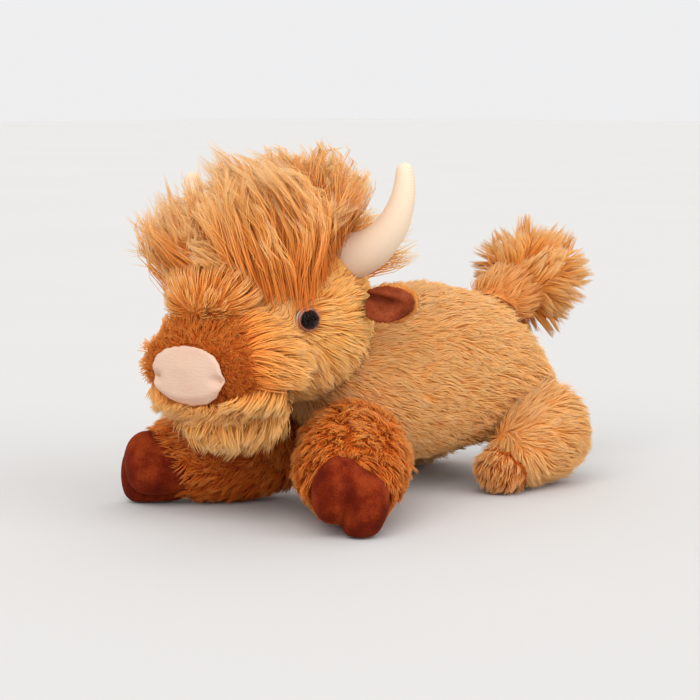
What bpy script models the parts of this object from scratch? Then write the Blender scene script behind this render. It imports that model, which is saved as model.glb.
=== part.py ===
"""A long-haired plush cow that stands low on four splayed, stuffed legs.

The cow faces -Y and its left side is +X. The floor is the plane z = 0, and the
origin lies on it, midway between the nose and the end of the tail. Lengths are
in metres. Fur is solid to the mean height of its pile.
"""

import math

import bmesh
import bpy
from mathutils import Matrix, Vector
from mathutils.bvhtree import BVHTree

# Fabric and seams
FUR_WALL = 0.0070
MUZZLE_WALL = 0.0055
SEAM_GAP = 0.0004
TURNING_GAP = 0.0007
FLOOR_FLAT = 0.0005
WELD_DISTANCE = 0.00001

# Torso
TORSO_WIDTH = 0.122
TORSO_LENGTH = 0.224
TORSO_HEIGHT = 0.130
BELLY_CLEARANCE = 0.019
TORSO_BEHIND_ORIGIN = 0.0249
TORSO_ASIDE = -0.0100
NECK_OPENING = 0.044

# Head, placed from the middle of the torso
HEAD_WIDTH = 0.124
HEAD_LENGTH = 0.140
HEAD_HEIGHT = 0.126
HEAD_AHEAD = 0.121
HEAD_RISE = 0.052
NECK_AXIS_AHEAD = 0.076
HEAD_TURN_DEG = 8.0
HEAD_TILT_DEG = -3.0

# Face, placed from the middle of the head
MUZZLE_WIDTH = 0.116
MUZZLE_LENGTH = 0.080
MUZZLE_HEIGHT = 0.068
MUZZLE_AHEAD = 0.060
MUZZLE_DROP = 0.030
NOSE_WIDTH = 0.060
NOSE_HEIGHT = 0.042
NOSE_THICKNESS = 0.0024
NOSE_DROP = 0.006
CHIN_WIDTH = 0.074
CHIN_LENGTH = 0.066
CHIN_HEIGHT = 0.050
CHIN_AHEAD = 0.054
CHIN_DROP = 0.055
BROW_WIDTH = 0.076
BROW_LENGTH = 0.044
BROW_HEIGHT = 0.046
BROW_AHEAD = 0.072
BROW_RISE = 0.012
FORELOCK_WIDTH = 0.164
FORELOCK_LENGTH = 0.130
FORELOCK_HEIGHT = 0.096
FORELOCK_AHEAD = 0.024
FORELOCK_RISE = 0.057

# Horns
HORN_BASE = 0.033
HORN_TIP = 0.012
HORN_LENGTH = 0.088
HORN_ROOT_ASIDE = 0.042
HORN_ROOT_RISE = 0.034
HORN_ROOT_BACK = 0.020
HORN_START_DEG = 4.0
HORN_END_DEG = 98.0

# Ears
EAR_LENGTH = 0.048
EAR_HEIGHT = 0.030
EAR_THICKNESS = 0.0085
EAR_CUP = 0.004
EAR_BACK = 0.020
EAR_RISE = 0.002
EAR_SUNK = 0.010
EAR_SWEEP_DEG = 12.0
EAR_LIFT_DEG = 6.0
LINING_THICKNESS = 0.0034
LINING_INSET = 0.003

# Eyes, measured along the shank from the back of the dome
PUPIL_DIAMETER = 0.0120
PUPIL_DOME = 0.0034
PUPIL_RIM = 0.0008
SHANK_DIAMETER = 0.0040
IRIS_DIAMETER = 0.0156
IRIS_THICKNESS = 0.0016
IRIS_EDGE = 0.0005
EYE_FABRIC = 0.0024
EYE_SINK = 0.0030
WASHER_DIAMETER = 0.0140
WASHER_THICKNESS = 0.0014
SHANK_TAIL = 0.0020
EYE_AZIMUTH_DEG = 31.0
EYE_RISE = -0.004

# Forelegs
FORELEG_LENGTH = 0.128
FORELEG_WIDTH = 0.082
FORELEG_HEIGHT = 0.086
FORELEG_ROOT_ASIDE = 0.018
FORELEG_ROOT_AHEAD = 0.070
FORELEG_LEFT_SPLAY_DEG = 44.0
FORELEG_RIGHT_SPLAY_DEG = 31.0
TOE_WIDTH = 0.034
TOE_LENGTH = 0.040
TOE_HEIGHT = 0.046
TOE_APART = 0.026
TOE_STAND_OUT = 0.010
TOE_ROLL_DEG = 30.0

# Hind legs
HIND_LENGTH = 0.098
HIND_WIDTH = 0.068
HIND_HEIGHT = 0.080
HIND_ROOT_ASIDE = 0.056
HIND_ROOT_AHEAD = -0.122
HIND_SPLAY_DEG = 6.0
HOOF_WIDTH = 0.044
HOOF_LENGTH = 0.040
HOOF_HEIGHT = 0.038
HOOF_STAND_OUT = 0.012

# Tail
TAIL_DIAMETER = 0.054
TAIL_LENGTH = 0.082
TAIL_ROOT_BACK = 0.078
TAIL_ROOT_RISE = 0.034
TAIL_LIFT_DEG = 24.0
TUFT_WIDTH = 0.076
TUFT_LENGTH = 0.074
TUFT_HEIGHT = 0.078
TUFT_BACK = 0.050

# Turns of the sewn joints to either side of rest, a leg's away from the body's middle
HEAD_RANGE_DEG = (-9.0, 9.0)
FORELEG_RANGE_DEG = (-4.0, 14.0)
HIND_RANGE_DEG = (-8.0, 12.0)
TAIL_RANGE_DEG = (-12.0, 12.0)
EAR_RANGE_DEG = (-15.0, 15.0)

# Each row: place along the form from -1 in front to 1 behind, then the shares
# of its width, of its height, and of its height by which its middle rises.
ROUND_SHARES = ((-1.0, 1.0, 1.0, 0.0), (1.0, 1.0, 1.0, 0.0))
TORSO_SHARES = (
    (-1.0, 0.90, 0.84, 0.02),
    (-0.4, 0.97, 0.98, 0.00),
    (0.2, 1.00, 1.00, 0.00),
    (0.7, 0.99, 0.98, -0.02),
    (1.0, 0.94, 0.90, -0.04),
)
MUZZLE_SHARES = ((-1.0, 1.0, 0.94, 0.0), (0.0, 1.0, 1.0, 0.0), (1.0, 0.9, 0.9, 0.05))
FORELOCK_SHARES = ((-1.0, 1.0, 0.86, -0.06), (0.0, 1.0, 1.0, 0.0), (1.0, 0.90, 0.90, 0.04))
FORELEG_SHARES = ((-1.0, 0.84, 0.70, -0.14), (-0.2, 0.96, 0.88, -0.06), (1.0, 1.0, 1.0, 0.0))
HIND_SHARES = (
    (-1.0, 0.84, 0.56, -0.20),
    (-0.2, 0.95, 0.84, -0.08),
    (0.4, 1.0, 1.0, 0.0),
    (1.0, 1.0, 0.74, -0.12),
)
EAR_SHARES = ((-1.0, 1.0, 0.92, 0.0), (0.0, 1.0, 1.0, 0.0), (1.0, 0.9, 0.62, 0.0))
TAIL_SHARES = ((-1.0, 1.0, 1.0, 0.0), (0.0, 0.9, 0.9, 0.0), (1.0, 1.0, 1.0, 0.0))
TUFT_SHARES = ((-1.0, 0.86, 0.86, 0.0), (0.1, 1.0, 1.0, 0.0), (1.0, 0.9, 0.9, 0.02))

# Powers of the rounding toward a form's ends: 1 is an ellipsoid, less is blunter
TORSO_BLUNT_SHARE = 0.64
MUZZLE_BLUNT_SHARE = 0.55
LEG_BLUNT_SHARE = 0.72
LOCK_BLUNT_SHARE = 0.60
EAR_BLUNT_SHARE = 0.80
TAIL_BLUNT_SHARE = 0.60
BALL_SHARE = 1.0
POLE_SHARE = 0.001

# Horns and eyes
HORN_STATION_SHARES = (0.0, 0.18, 0.36, 0.54, 0.70, 0.84)
HORN_TIP_TURNS_DEG = (30.0, 55.0, 76.0)
PUPIL_TURNS_DEG = (0.0, 30.0, 60.0, 90.0)
EYE_FLARE_SHARE = 1.7
CUTTER_REACH = 0.30

GOLDEN_FUR = ("golden_fur", (0.72, 0.36, 0.12), 0.85)
PALE_FUR = ("pale_fur", (0.80, 0.50, 0.22), 0.85)
RUSTY_FUR = ("rusty_fur", (0.42, 0.13, 0.03), 0.85)
BROWN_SUEDE = ("brown_suede", (0.20, 0.045, 0.015), 0.90)
PINK_PLUSH = ("pink_plush", (0.84, 0.62, 0.50), 0.90)
CREAM_FABRIC = ("cream_fabric", (0.86, 0.64, 0.38), 0.85)
BLACK_GLOSS = ("black_gloss", (0.01, 0.008, 0.008), 0.08)
BROWN_GLOSS = ("brown_gloss", (0.30, 0.12, 0.08), 0.15)
WHITE_PLASTIC = ("white_plastic", (0.80, 0.80, 0.78), 0.45)
WHITE_FIBRE = ("white_fibre", (0.88, 0.87, 0.84), 0.95)


def clear_scene():
    """Removes every object of the scene that is open."""
    for old in list(bpy.data.objects):
        bpy.data.objects.remove(old, do_unlink=True)


def new_collection(name):
    """Adds a collection to the scene."""
    collection = bpy.data.collections.new(name)
    bpy.context.scene.collection.children.link(collection)
    return collection


def material_for(look):
    """Gives the material of a look, made on its first use."""
    name, colour, roughness = look
    material = bpy.data.materials.get(name)
    if material is None:
        material = bpy.data.materials.new(name)
        material.use_nodes = True
        shader = material.node_tree.nodes["Principled BSDF"]
        shader.inputs["Base Color"].default_value = (*colour, 1.0)
        shader.inputs["Roughness"].default_value = roughness
        shader.inputs["Metallic"].default_value = 0.0
        material.diffuse_color = (*colour, 1.0)
    return material


def shares_at(stations, place):
    """Reads a table of shares at a place along a form, easing from row to row."""
    for before, after in zip(stations, stations[1:]):
        if place <= after[0]:
            share = (place - before[0]) / (after[0] - before[0])
            eased = share * share * (3 - 2 * share)
            return [low + (high - low) * eased for low, high in zip(before[1:], after[1:])]
    return list(stations[-1][1:])


def form_mesh(name, size, stations, blunt_share, sides, rings, cup=0.0):
    """A closed form with its ends on the Y axis, its widths and heights shared out by stations."""
    width, length, height = size
    mesh = bpy.data.meshes.new(name)
    shape = bmesh.new()
    bmesh.ops.create_uvsphere(shape, u_segments=sides, v_segments=rings, radius=1)
    for vertex in shape.verts:
        across, along, up = vertex.co.x, vertex.co.z, -vertex.co.y
        ring = math.hypot(across, up)
        fuller = ring ** (blunt_share - 1) if ring > POLE_SHARE else 0
        wide_share, tall_share, rise_share = shares_at(stations, along)
        vertex.co.x = across * fuller * wide_share * width / 2 + cup * up * up
        vertex.co.y = along * length / 2
        vertex.co.z = up * fuller * tall_share * height / 2 + rise_share * height
    shape.to_mesh(mesh)
    shape.free()
    return mesh


def empty_at(name, parent, location, turn=0.0, tilt=0.0):
    """An empty that carries pieces, turned about Z and then tilted about its own Y."""
    empty = bpy.data.objects.new(name, None)
    parts.objects.link(empty)
    empty.parent = parent
    empty.location = location
    empty.rotation_mode = "ZYX"
    empty.rotation_euler = (0, math.radians(tilt), math.radians(turn))
    return empty


def piece(name, mesh, look, parent, location=(0, 0, 0), turn=None):
    """A named solid of the toy on the empty that carries it."""
    solid = bpy.data.objects.new(name, mesh.copy())
    solid.data.name = name
    solid.data.materials.clear()
    solid.data.materials.append(material_for(look))
    solid.data.shade_smooth()
    parts.objects.link(solid)
    solid.parent = parent
    solid.location = location
    if turn is not None:
        solid.rotation_mode = "QUATERNION"
        solid.rotation_quaternion = turn
    return solid


def guide(name, mesh, parent, location=(0, 0, 0), turn=None):
    """A hidden solid that cuts others or is measured."""
    cutter = bpy.data.objects.new(name, mesh)
    cutters.objects.link(cutter)
    cutter.hide_render = True
    cutter.display_type = "WIRE"
    cutter.parent = parent
    cutter.location = location
    if turn is not None:
        cutter.rotation_mode = "QUATERNION"
        cutter.rotation_quaternion = turn
    return cutter


def grown(name, mesh, parent, location=(0, 0, 0), by=SEAM_GAP, turn=None):
    """A guide that stands proud of a form on all sides."""
    cutter = guide(name, mesh, parent, location, turn)
    swell = cutter.modifiers.new("seam gap", "DISPLACE")
    swell.strength = by
    swell.mid_level = 0.0
    return cutter


def hollow(solid, wall):
    """Leaves a wall of fabric inside a closed form."""
    shell = solid.modifiers.new("fabric", "SOLIDIFY")
    shell.thickness = wall
    shell.offset = -1.0


def shrink(solid, by):
    """Draws a form in on all sides."""
    inward = solid.modifiers.new("inside the fabric", "DISPLACE")
    inward.strength = -by
    inward.mid_level = 0.0


def cut(solid, *cutting, keep=False):
    """Cuts a solid by guides, or keeps only what lies inside them."""
    for cutter in cutting:
        boolean = solid.modifiers.new(cutter.name, "BOOLEAN")
        boolean.operation = "INTERSECT" if keep else "DIFFERENCE"
        boolean.solver = "EXACT"
        boolean.object = cutter


def stuffed(name, mesh, look, wall, parent, seams, location=(0, 0, 0)):
    """A fabric skin and the stuffing inside it, both cut open at their seams."""
    skin = piece(name + "_skin", mesh, look, parent, location)
    hollow(skin, wall)
    cut(skin, *seams)
    stuffing = piece(name + "_stuffing", mesh, WHITE_FIBRE, parent, location)
    shrink(stuffing, wall + SEAM_GAP)
    cut(stuffing, *seams)
    return skin, stuffing


def seam_relief(cutter, joint, limits, side=1):
    """The guides where a cutter lies, as a joint sees it, at each limit of its turn."""
    bpy.context.view_layer.update()
    axis_place = joint.matrix_world.translation
    reliefs = []
    for degrees in limits:
        turn = Matrix.Rotation(-side * math.radians(degrees), 4, "Z")
        about = Matrix.Translation(axis_place) @ turn @ Matrix.Translation(-axis_place)
        copy = cutter.copy()
        cutters.objects.link(copy)
        copy.parent = None
        copy.matrix_world = about @ cutter.matrix_world
        reliefs.append(copy)
    return reliefs


def surface_place(form, start, toward):
    """The place, in the world, where a line from inside a form leaves it."""
    bpy.context.view_layer.update()
    shape = bmesh.new()
    shape.from_mesh(form.data)
    shape.transform(form.matrix_world)
    tree = BVHTree.FromBMesh(shape)
    shape.free()
    place = tree.ray_cast(Vector(start), Vector(toward).normalized())[0]
    return place


def cylinder_mesh(name, radius, depth, far_radius=None, sides=12):
    """A cylinder or cone that starts at the origin and runs up Z."""
    mesh = bpy.data.meshes.new(name)
    shape = bmesh.new()
    bmesh.ops.create_cone(
        shape,
        cap_ends=True,
        segments=sides,
        radius1=radius,
        radius2=radius if far_radius is None else far_radius,
        depth=depth,
        matrix=Matrix.Translation((0, 0, depth / 2)),
    )
    shape.to_mesh(mesh)
    shape.free()
    return mesh


def turned_mesh(name, profile, closed=False, sides=14):
    """A profile of radius and height, outer side first and downward, spun about Z."""
    outline = bpy.data.meshes.new(name)
    edges = [(index, index + 1) for index in range(len(profile) - 1)]
    if closed:
        edges.append((len(profile) - 1, 0))
    outline.from_pydata([(radius, 0, height) for radius, height in profile], edges, [])
    spun = bpy.data.objects.new(name, outline)
    cutters.objects.link(spun)
    screw = spun.modifiers.new("turned", "SCREW")
    screw.steps = screw.render_steps = sides
    screw.use_merge_vertices = True
    screw.merge_threshold = WELD_DISTANCE
    bpy.context.view_layer.update()
    mesh = bpy.data.meshes.new_from_object(spun.evaluated_get(bpy.context.evaluated_depsgraph_get()))
    bpy.data.objects.remove(spun, do_unlink=True)
    return mesh


def build_torso():
    """The barrel of the body, open at the neck, with the joints' parent."""
    middle = (TORSO_ASIDE, TORSO_BEHIND_ORIGIN, BELLY_CLEARANCE + TORSO_HEIGHT / 2)
    carrier = empty_at("torso", None, middle)
    size = (TORSO_WIDTH, TORSO_LENGTH, TORSO_HEIGHT)
    mesh = form_mesh("torso_form", size, TORSO_SHARES, TORSO_BLUNT_SHARE, 18, 12)
    form = guide("torso_form", mesh, carrier)
    seam = grown("torso_seam", mesh, carrier, by=TURNING_GAP)
    skin, _ = stuffed("torso", mesh, GOLDEN_FUR, FUR_WALL, carrier, ())
    toward_head = Vector((0, -HEAD_AHEAD, HEAD_RISE)).to_track_quat("Z", "Y")
    opening = cylinder_mesh("neck_opening", NECK_OPENING / 2, CUTTER_REACH)
    cut(skin, guide("neck_opening", opening, carrier, turn=toward_head))
    return carrier, form, seam


def eye_frame(side):
    """Where an eye sits on the head and the way that it looks, in the head's own frame."""
    azimuth = math.radians(EYE_AZIMUTH_DEG)
    radii = Vector((HEAD_WIDTH, HEAD_LENGTH, HEAD_HEIGHT)) / 2
    rise = math.asin(EYE_RISE / radii.z)
    place = Vector((
        side * radii.x * math.cos(azimuth) * math.cos(rise),
        -radii.y * math.sin(azimuth) * math.cos(rise),
        EYE_RISE,
    ))
    facing = Vector((place.x / radii.x**2, place.y / radii.y**2, place.z / radii.z**2))
    return place - facing.normalized() * EYE_SINK, facing.to_track_quat("Z", "Y")


def dome_profile():
    """The pupil's outline from the top of its dome down its shank."""
    radius = PUPIL_DIAMETER / 2
    arc = [
        (radius * math.sin(math.radians(angle)), PUPIL_DOME * math.cos(math.radians(angle)))
        for angle in PUPIL_TURNS_DEG
    ]
    shank = SHANK_DIAMETER / 2
    foot = PUPIL_RIM + IRIS_THICKNESS + 2 * SEAM_GAP + EYE_FABRIC + 2 * SEAM_GAP
    foot += WASHER_THICKNESS + SHANK_TAIL
    return arc + [(radius, -PUPIL_RIM), (shank, -PUPIL_RIM), (shank, -foot), (0, -foot)], foot


def build_eye(name, carrier, side, skin, stuffing):
    """A safety eye: domed pupil with its shank, rim ring, and the washer behind the fabric."""
    place, facing = eye_frame(side)
    seat = empty_at(name + "_seat", carrier, place)
    seat.rotation_mode = "QUATERNION"
    seat.rotation_quaternion = facing
    profile, foot = dome_profile()
    lift = IRIS_THICKNESS + SEAM_GAP + PUPIL_RIM + SEAM_GAP
    piece(name + "_pupil", turned_mesh(name, profile), BLACK_GLOSS, seat, (0, 0, lift))
    bore = SHANK_DIAMETER / 2 + SEAM_GAP
    rim = IRIS_DIAMETER / 2
    pupil = PUPIL_DIAMETER / 2
    top = IRIS_THICKNESS + SEAM_GAP
    ring = [(bore, top), (pupil, top), (rim, top - IRIS_EDGE), (rim, SEAM_GAP), (bore, SEAM_GAP)]
    piece(name + "_rim", turned_mesh(name, ring, closed=True), BROWN_GLOSS, seat)
    under = -EYE_FABRIC - SEAM_GAP
    outer = WASHER_DIAMETER / 2
    low = under - WASHER_THICKNESS
    washer = [(bore, under), (outer, under), (outer, low), (bore, low)]
    piece(name + "_washer", turned_mesh(name, washer, closed=True), WHITE_PLASTIC, seat)
    wide = IRIS_DIAMETER / 2 + SEAM_GAP
    socket = cylinder_mesh(name + "_socket", wide, FUR_WALL, wide * EYE_FLARE_SHARE)
    hole = cylinder_mesh(name + "_hole", bore, 2 * foot)
    pocket = cylinder_mesh(name + "_pocket", outer + SEAM_GAP, foot)
    holes = (
        guide(name + "_socket", socket, seat),
        guide(name + "_hole", hole, seat, (0, 0, -foot)),
        guide(name + "_pocket", pocket, seat, (0, 0, -EYE_FABRIC - foot)),
    )
    cut(skin, *holes)
    cut(stuffing, holes[-1])


def build_nose(carrier, muzzle, muzzle_mesh, place):
    """The short plush patch that wraps the front of the muzzle."""
    outline = (NOSE_WIDTH, MUZZLE_LENGTH, NOSE_HEIGHT)
    prism = form_mesh("nose_outline", outline, ROUND_SHARES, LEG_BLUNT_SHARE, 16, 4)
    patch_place = Vector(place) + Vector((0, -MUZZLE_LENGTH / 2, -NOSE_DROP))
    patch = piece("nose_patch", prism, PINK_PLUSH, carrier, patch_place)
    cut(patch, grown("nose_face", muzzle_mesh, carrier, place, NOSE_THICKNESS), keep=True)
    cut(patch, muzzle)


def build_horn(name, carrier, side, seams):
    """A ribbed fabric horn that curves out and up to a round tip."""
    tip = HORN_TIP / 2
    straight = HORN_LENGTH - tip
    stations = [
        (share * straight, HORN_BASE / 2 + (tip - HORN_BASE / 2) * share)
        for share in (*HORN_STATION_SHARES, 1.0)
    ]
    stations += [
        (straight + tip * math.sin(math.radians(turn)), tip * math.cos(math.radians(turn)))
        for turn in HORN_TIP_TURNS_DEG
    ]
    curve = bpy.data.curves.new(name, "CURVE")
    curve.dimensions = "3D"
    curve.bevel_depth = 1.0
    curve.bevel_resolution = 2
    curve.use_fill_caps = True
    spline = curve.splines.new("POLY")
    spline.points.add(len(stations) - 1)
    start, end = math.radians(HORN_START_DEG), math.radians(HORN_END_DEG)
    bend = (end - start) / HORN_LENGTH
    for point, (run, radius) in zip(spline.points, stations):
        lean = start + bend * run
        aside = (math.sin(lean) - math.sin(start)) / bend
        rise = (math.cos(start) - math.cos(lean)) / bend
        point.co = (side * aside, 0, rise, 1)
        point.radius = radius
    bent = bpy.data.objects.new(name, curve)
    cutters.objects.link(bent)
    bpy.context.view_layer.update()
    mesh = bpy.data.meshes.new_from_object(bent.evaluated_get(bpy.context.evaluated_depsgraph_get()))
    bpy.data.objects.remove(bent, do_unlink=True)
    shape = bmesh.new()
    shape.from_mesh(mesh)
    bmesh.ops.remove_doubles(shape, verts=shape.verts, dist=WELD_DISTANCE)
    shape.to_mesh(mesh)
    shape.free()
    root = (side * HORN_ROOT_ASIDE, HORN_ROOT_BACK, HORN_ROOT_RISE)
    horn = piece(name, mesh, CREAM_FABRIC, carrier, root)
    cut(horn, *seams)


def build_ear(name, carrier, side, head_form, head_seam):
    """A cupped ear on the side of the head: a fur back and a suede lining in front of it."""
    middle = carrier.matrix_world @ Vector((0, EAR_BACK, EAR_RISE))
    edge = surface_place(head_form, middle, carrier.matrix_world.to_3x3() @ Vector((side, 0, 0)))
    local = carrier.matrix_world.inverted() @ edge
    joint = empty_at(name + "_joint", carrier, local)
    bpy.context.view_layer.update()
    upright = carrier.matrix_world.to_quaternion().inverted()
    joint.rotation_mode = "QUATERNION"
    joint.rotation_quaternion = upright
    relief = seam_relief(head_seam, joint, EAR_RANGE_DEG)
    sweep = math.radians((90.0 + EAR_SWEEP_DEG) * side + HEAD_TURN_DEG)
    lift = Matrix.Rotation(-math.radians(EAR_LIFT_DEG), 4, "X")
    turn = (Matrix.Rotation(sweep, 4, "Z") @ lift).to_quaternion()
    outward = turn @ Vector((0, -1, 0))
    middle = outward * (EAR_LENGTH / 2 - EAR_SUNK)
    size = (EAR_THICKNESS, EAR_LENGTH, EAR_HEIGHT)
    cup = -side * EAR_CUP
    leaf = form_mesh(name, size, EAR_SHARES, EAR_BLUNT_SHARE, 10, 7, cup)
    back = piece(name + "_back", leaf, GOLDEN_FUR, joint, middle, turn)
    cut(back, *relief)
    inner = (LINING_THICKNESS, EAR_LENGTH - 2 * LINING_INSET, EAR_HEIGHT - 2 * LINING_INSET)
    face = form_mesh(name + "_face", inner, EAR_SHARES, EAR_BLUNT_SHARE, 10, 7, cup)
    forward = turn @ Vector((-side * EAR_THICKNESS / 2, 0, 0))
    lining = piece(name + "_lining", face, BROWN_SUEDE, joint, middle + forward, turn)
    cut(lining, grown(name + "_seam", leaf, joint, middle, turn=turn), *relief)
    return joint


def build_head(torso, torso_seam):
    """The head with its face, mop of hair, horns, ears and eyes, on the neck's axis."""
    joint = empty_at("head_joint", torso, (0, -NECK_AXIS_AHEAD, HEAD_RISE))
    ahead = (0, NECK_AXIS_AHEAD - HEAD_AHEAD, 0)
    carrier = empty_at("head", joint, ahead, HEAD_TURN_DEG, HEAD_TILT_DEG)
    size = (HEAD_WIDTH, HEAD_LENGTH, HEAD_HEIGHT)
    mesh = form_mesh("head_form", size, ROUND_SHARES, BALL_SHARE, 18, 12)
    form = guide("head_form", mesh, carrier)
    seam = grown("head_seam", mesh, carrier)
    neck = seam_relief(torso_seam, joint, HEAD_RANGE_DEG)
    skin, stuffing = stuffed("head", mesh, GOLDEN_FUR, FUR_WALL, carrier, neck)
    for side, word in ((1, "left"), (-1, "right")):
        build_eye("eye_" + word, carrier, side, skin, stuffing)

    size = (MUZZLE_WIDTH, MUZZLE_LENGTH, MUZZLE_HEIGHT)
    mesh = form_mesh("muzzle_form", size, MUZZLE_SHARES, MUZZLE_BLUNT_SHARE, 16, 8)
    place = (0, -MUZZLE_AHEAD, -MUZZLE_DROP)
    muzzle = grown("muzzle_seam", mesh, carrier, place)
    stuffed("muzzle", mesh, RUSTY_FUR, MUZZLE_WALL, carrier, (seam,), place)
    build_nose(carrier, muzzle, mesh, place)

    size = (CHIN_WIDTH, CHIN_LENGTH, CHIN_HEIGHT)
    mesh = form_mesh("chin_form", size, ROUND_SHARES, BALL_SHARE, 14, 8)
    chin = piece("chin", mesh, PALE_FUR, carrier, (0, -CHIN_AHEAD, -CHIN_DROP))
    nose_face = bpy.data.objects["nose_face"]
    cut(chin, seam, muzzle, nose_face)

    size = (BROW_WIDTH, BROW_LENGTH, BROW_HEIGHT)
    mesh = form_mesh("brow_form", size, ROUND_SHARES, BALL_SHARE, 14, 8)
    brow_place = (0, -BROW_AHEAD, BROW_RISE)
    brow = piece("brow_tuft", mesh, RUSTY_FUR, carrier, brow_place)
    brow_seam = grown("brow_seam", mesh, carrier, brow_place)
    cut(brow, seam, muzzle)

    size = (FORELOCK_WIDTH, FORELOCK_LENGTH, FORELOCK_HEIGHT)
    mesh = form_mesh("forelock_form", size, FORELOCK_SHARES, LOCK_BLUNT_SHARE, 16, 10)
    lock_place = (0, -FORELOCK_AHEAD, FORELOCK_RISE)
    forelock = piece("forelock", mesh, PALE_FUR, carrier, lock_place)
    forelock_seam = grown("forelock_seam", mesh, carrier, lock_place)
    cut(forelock, seam, brow_seam)
    for side, word in ((1, "left"), (-1, "right")):
        build_horn("horn_" + word, carrier, side, (seam, forelock_seam))
        build_ear("ear_" + word, carrier, side, form, seam)


def build_leg(name, torso, torso_form, torso_seam, side, leg):
    """A stuffed leg, sewn to the torso and cut flat where it stands."""
    size, stations, aside, ahead, splay, limits = leg
    width, length, height = size
    mesh = form_mesh(name, size, stations, LEG_BLUNT_SHARE, 14, 10)
    lowest = min(vertex.co.z for vertex in mesh.vertices)
    outward = Vector((side * math.sin(math.radians(splay)), -math.cos(math.radians(splay)), 0))
    root = Vector((TORSO_ASIDE + side * aside, torso.location.y - ahead, -lowest - FLOOR_FLAT))
    middle = root + outward * length / 2
    within = Vector((TORSO_ASIDE, middle.y, torso.location.z)) if ahead < 0 else root
    toward = middle - within
    seam_place = surface_place(torso_form, within, toward)
    joint = empty_at(name + "_joint", torso, seam_place - torso.location)
    carrier = empty_at(name, joint, middle - seam_place, splay * side)
    relief = seam_relief(torso_seam, joint, limits, side)
    floor = guide(name + "_floor", floor_mesh, None)
    stuffed(name, mesh, GOLDEN_FUR, FUR_WALL, carrier, (*relief, floor))
    return carrier, grown(name + "_seam", mesh, carrier), floor


def build_forelegs(torso, torso_form, torso_seam):
    """The forelegs, each with a two-toed suede hoof."""
    size = (FORELEG_WIDTH, FORELEG_LENGTH, FORELEG_HEIGHT)
    toe_size = (TOE_WIDTH, TOE_LENGTH, TOE_HEIGHT)
    for side, word, splay in (
        (1, "left", FORELEG_LEFT_SPLAY_DEG),
        (-1, "right", FORELEG_RIGHT_SPLAY_DEG),
    ):
        root = (FORELEG_ROOT_ASIDE, FORELEG_ROOT_AHEAD)
        leg = (size, FORELEG_SHARES, *root, splay, FORELEG_RANGE_DEG)
        name = "foreleg_" + word
        carrier, seam, floor = build_leg(name, torso, torso_form, torso_seam, side, leg)
        front = -FORELEG_LENGTH / 2 - TOE_STAND_OUT + TOE_LENGTH / 2
        roll = Matrix.Rotation(math.radians(TOE_ROLL_DEG) * side, 4, "Y")
        previous = ()
        for toe_side, toe_word in ((-side, "inner"), (side, "outer")):
            toe_name = f"{name}_{toe_word}_toe"
            mesh = form_mesh(toe_name, toe_size, ROUND_SHARES, LEG_BLUNT_SHARE, 10, 7)
            away = roll @ Vector((toe_side * TOE_APART / 2, 0, 0))
            reach = max(abs(vertex.co.z) for vertex in mesh.vertices)
            place = Vector((away.x, front, away.z + reach - carrier_height(carrier)))
            turn = roll.to_quaternion()
            toe = piece(toe_name, mesh, BROWN_SUEDE, carrier, place, turn)
            cut(toe, seam, *previous, floor)
            previous = (grown(toe_name + "_seam", mesh, carrier, place, turn=turn),)


def carrier_height(carrier):
    """How high above the floor an empty stands."""
    bpy.context.view_layer.update()
    return carrier.matrix_world.translation.z


def build_hind_legs(torso, torso_form, torso_seam):
    """The hind legs, each with a furry hoof cap in front."""
    size = (HIND_WIDTH, HIND_LENGTH, HIND_HEIGHT)
    root = (HIND_ROOT_ASIDE, HIND_ROOT_AHEAD)
    leg = (size, HIND_SHARES, *root, HIND_SPLAY_DEG, HIND_RANGE_DEG)
    cap_size = (HOOF_WIDTH, HOOF_LENGTH, HOOF_HEIGHT)
    for side, word in ((1, "left"), (-1, "right")):
        name = "hind_leg_" + word
        carrier, seam, floor = build_leg(name, torso, torso_form, torso_seam, side, leg)
        mesh = form_mesh(name + "_hoof", cap_size, ROUND_SHARES, LEG_BLUNT_SHARE, 10, 7)
        front = -HIND_LENGTH / 2 - HOOF_STAND_OUT + HOOF_LENGTH / 2
        low = HOOF_HEIGHT / 2 - FLOOR_FLAT - carrier_height(carrier)
        hoof = piece(name + "_hoof", mesh, BROWN_SUEDE, carrier, (0, front, low))
        cut(hoof, seam, floor)


def build_tail(torso, torso_form, torso_seam):
    """The tail: a fur tube that rises behind the rump and a long-haired tuft."""
    lift = Matrix.Rotation(math.radians(TAIL_LIFT_DEG), 4, "X")
    turn = lift.to_quaternion()
    backward = turn @ Vector((0, 1, 0))
    root = torso.location + Vector((0, TAIL_ROOT_BACK, TAIL_ROOT_RISE))
    seam_place = surface_place(torso_form, root, backward)
    joint = empty_at("tail_joint", torso, seam_place - torso.location)
    relief = seam_relief(torso_seam, joint, TAIL_RANGE_DEG)
    size = (TAIL_DIAMETER, TAIL_LENGTH, TAIL_DIAMETER)
    mesh = form_mesh("tail_form", size, TAIL_SHARES, TAIL_BLUNT_SHARE, 14, 8)
    middle = root + backward * TAIL_LENGTH / 2 - seam_place
    tube = piece("tail", mesh, GOLDEN_FUR, joint, middle, turn)
    tube_seam = grown("tail_seam", mesh, joint, middle, turn=turn)
    cut(tube, *relief)
    size = (TUFT_WIDTH, TUFT_LENGTH, TUFT_HEIGHT)
    mesh = form_mesh("tuft_form", size, TUFT_SHARES, BALL_SHARE, 16, 10)
    tuft = piece("tail_tuft", mesh, PALE_FUR, joint, middle + backward * TUFT_BACK / 2, turn)
    cut(tuft, tube_seam, *relief)


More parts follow.
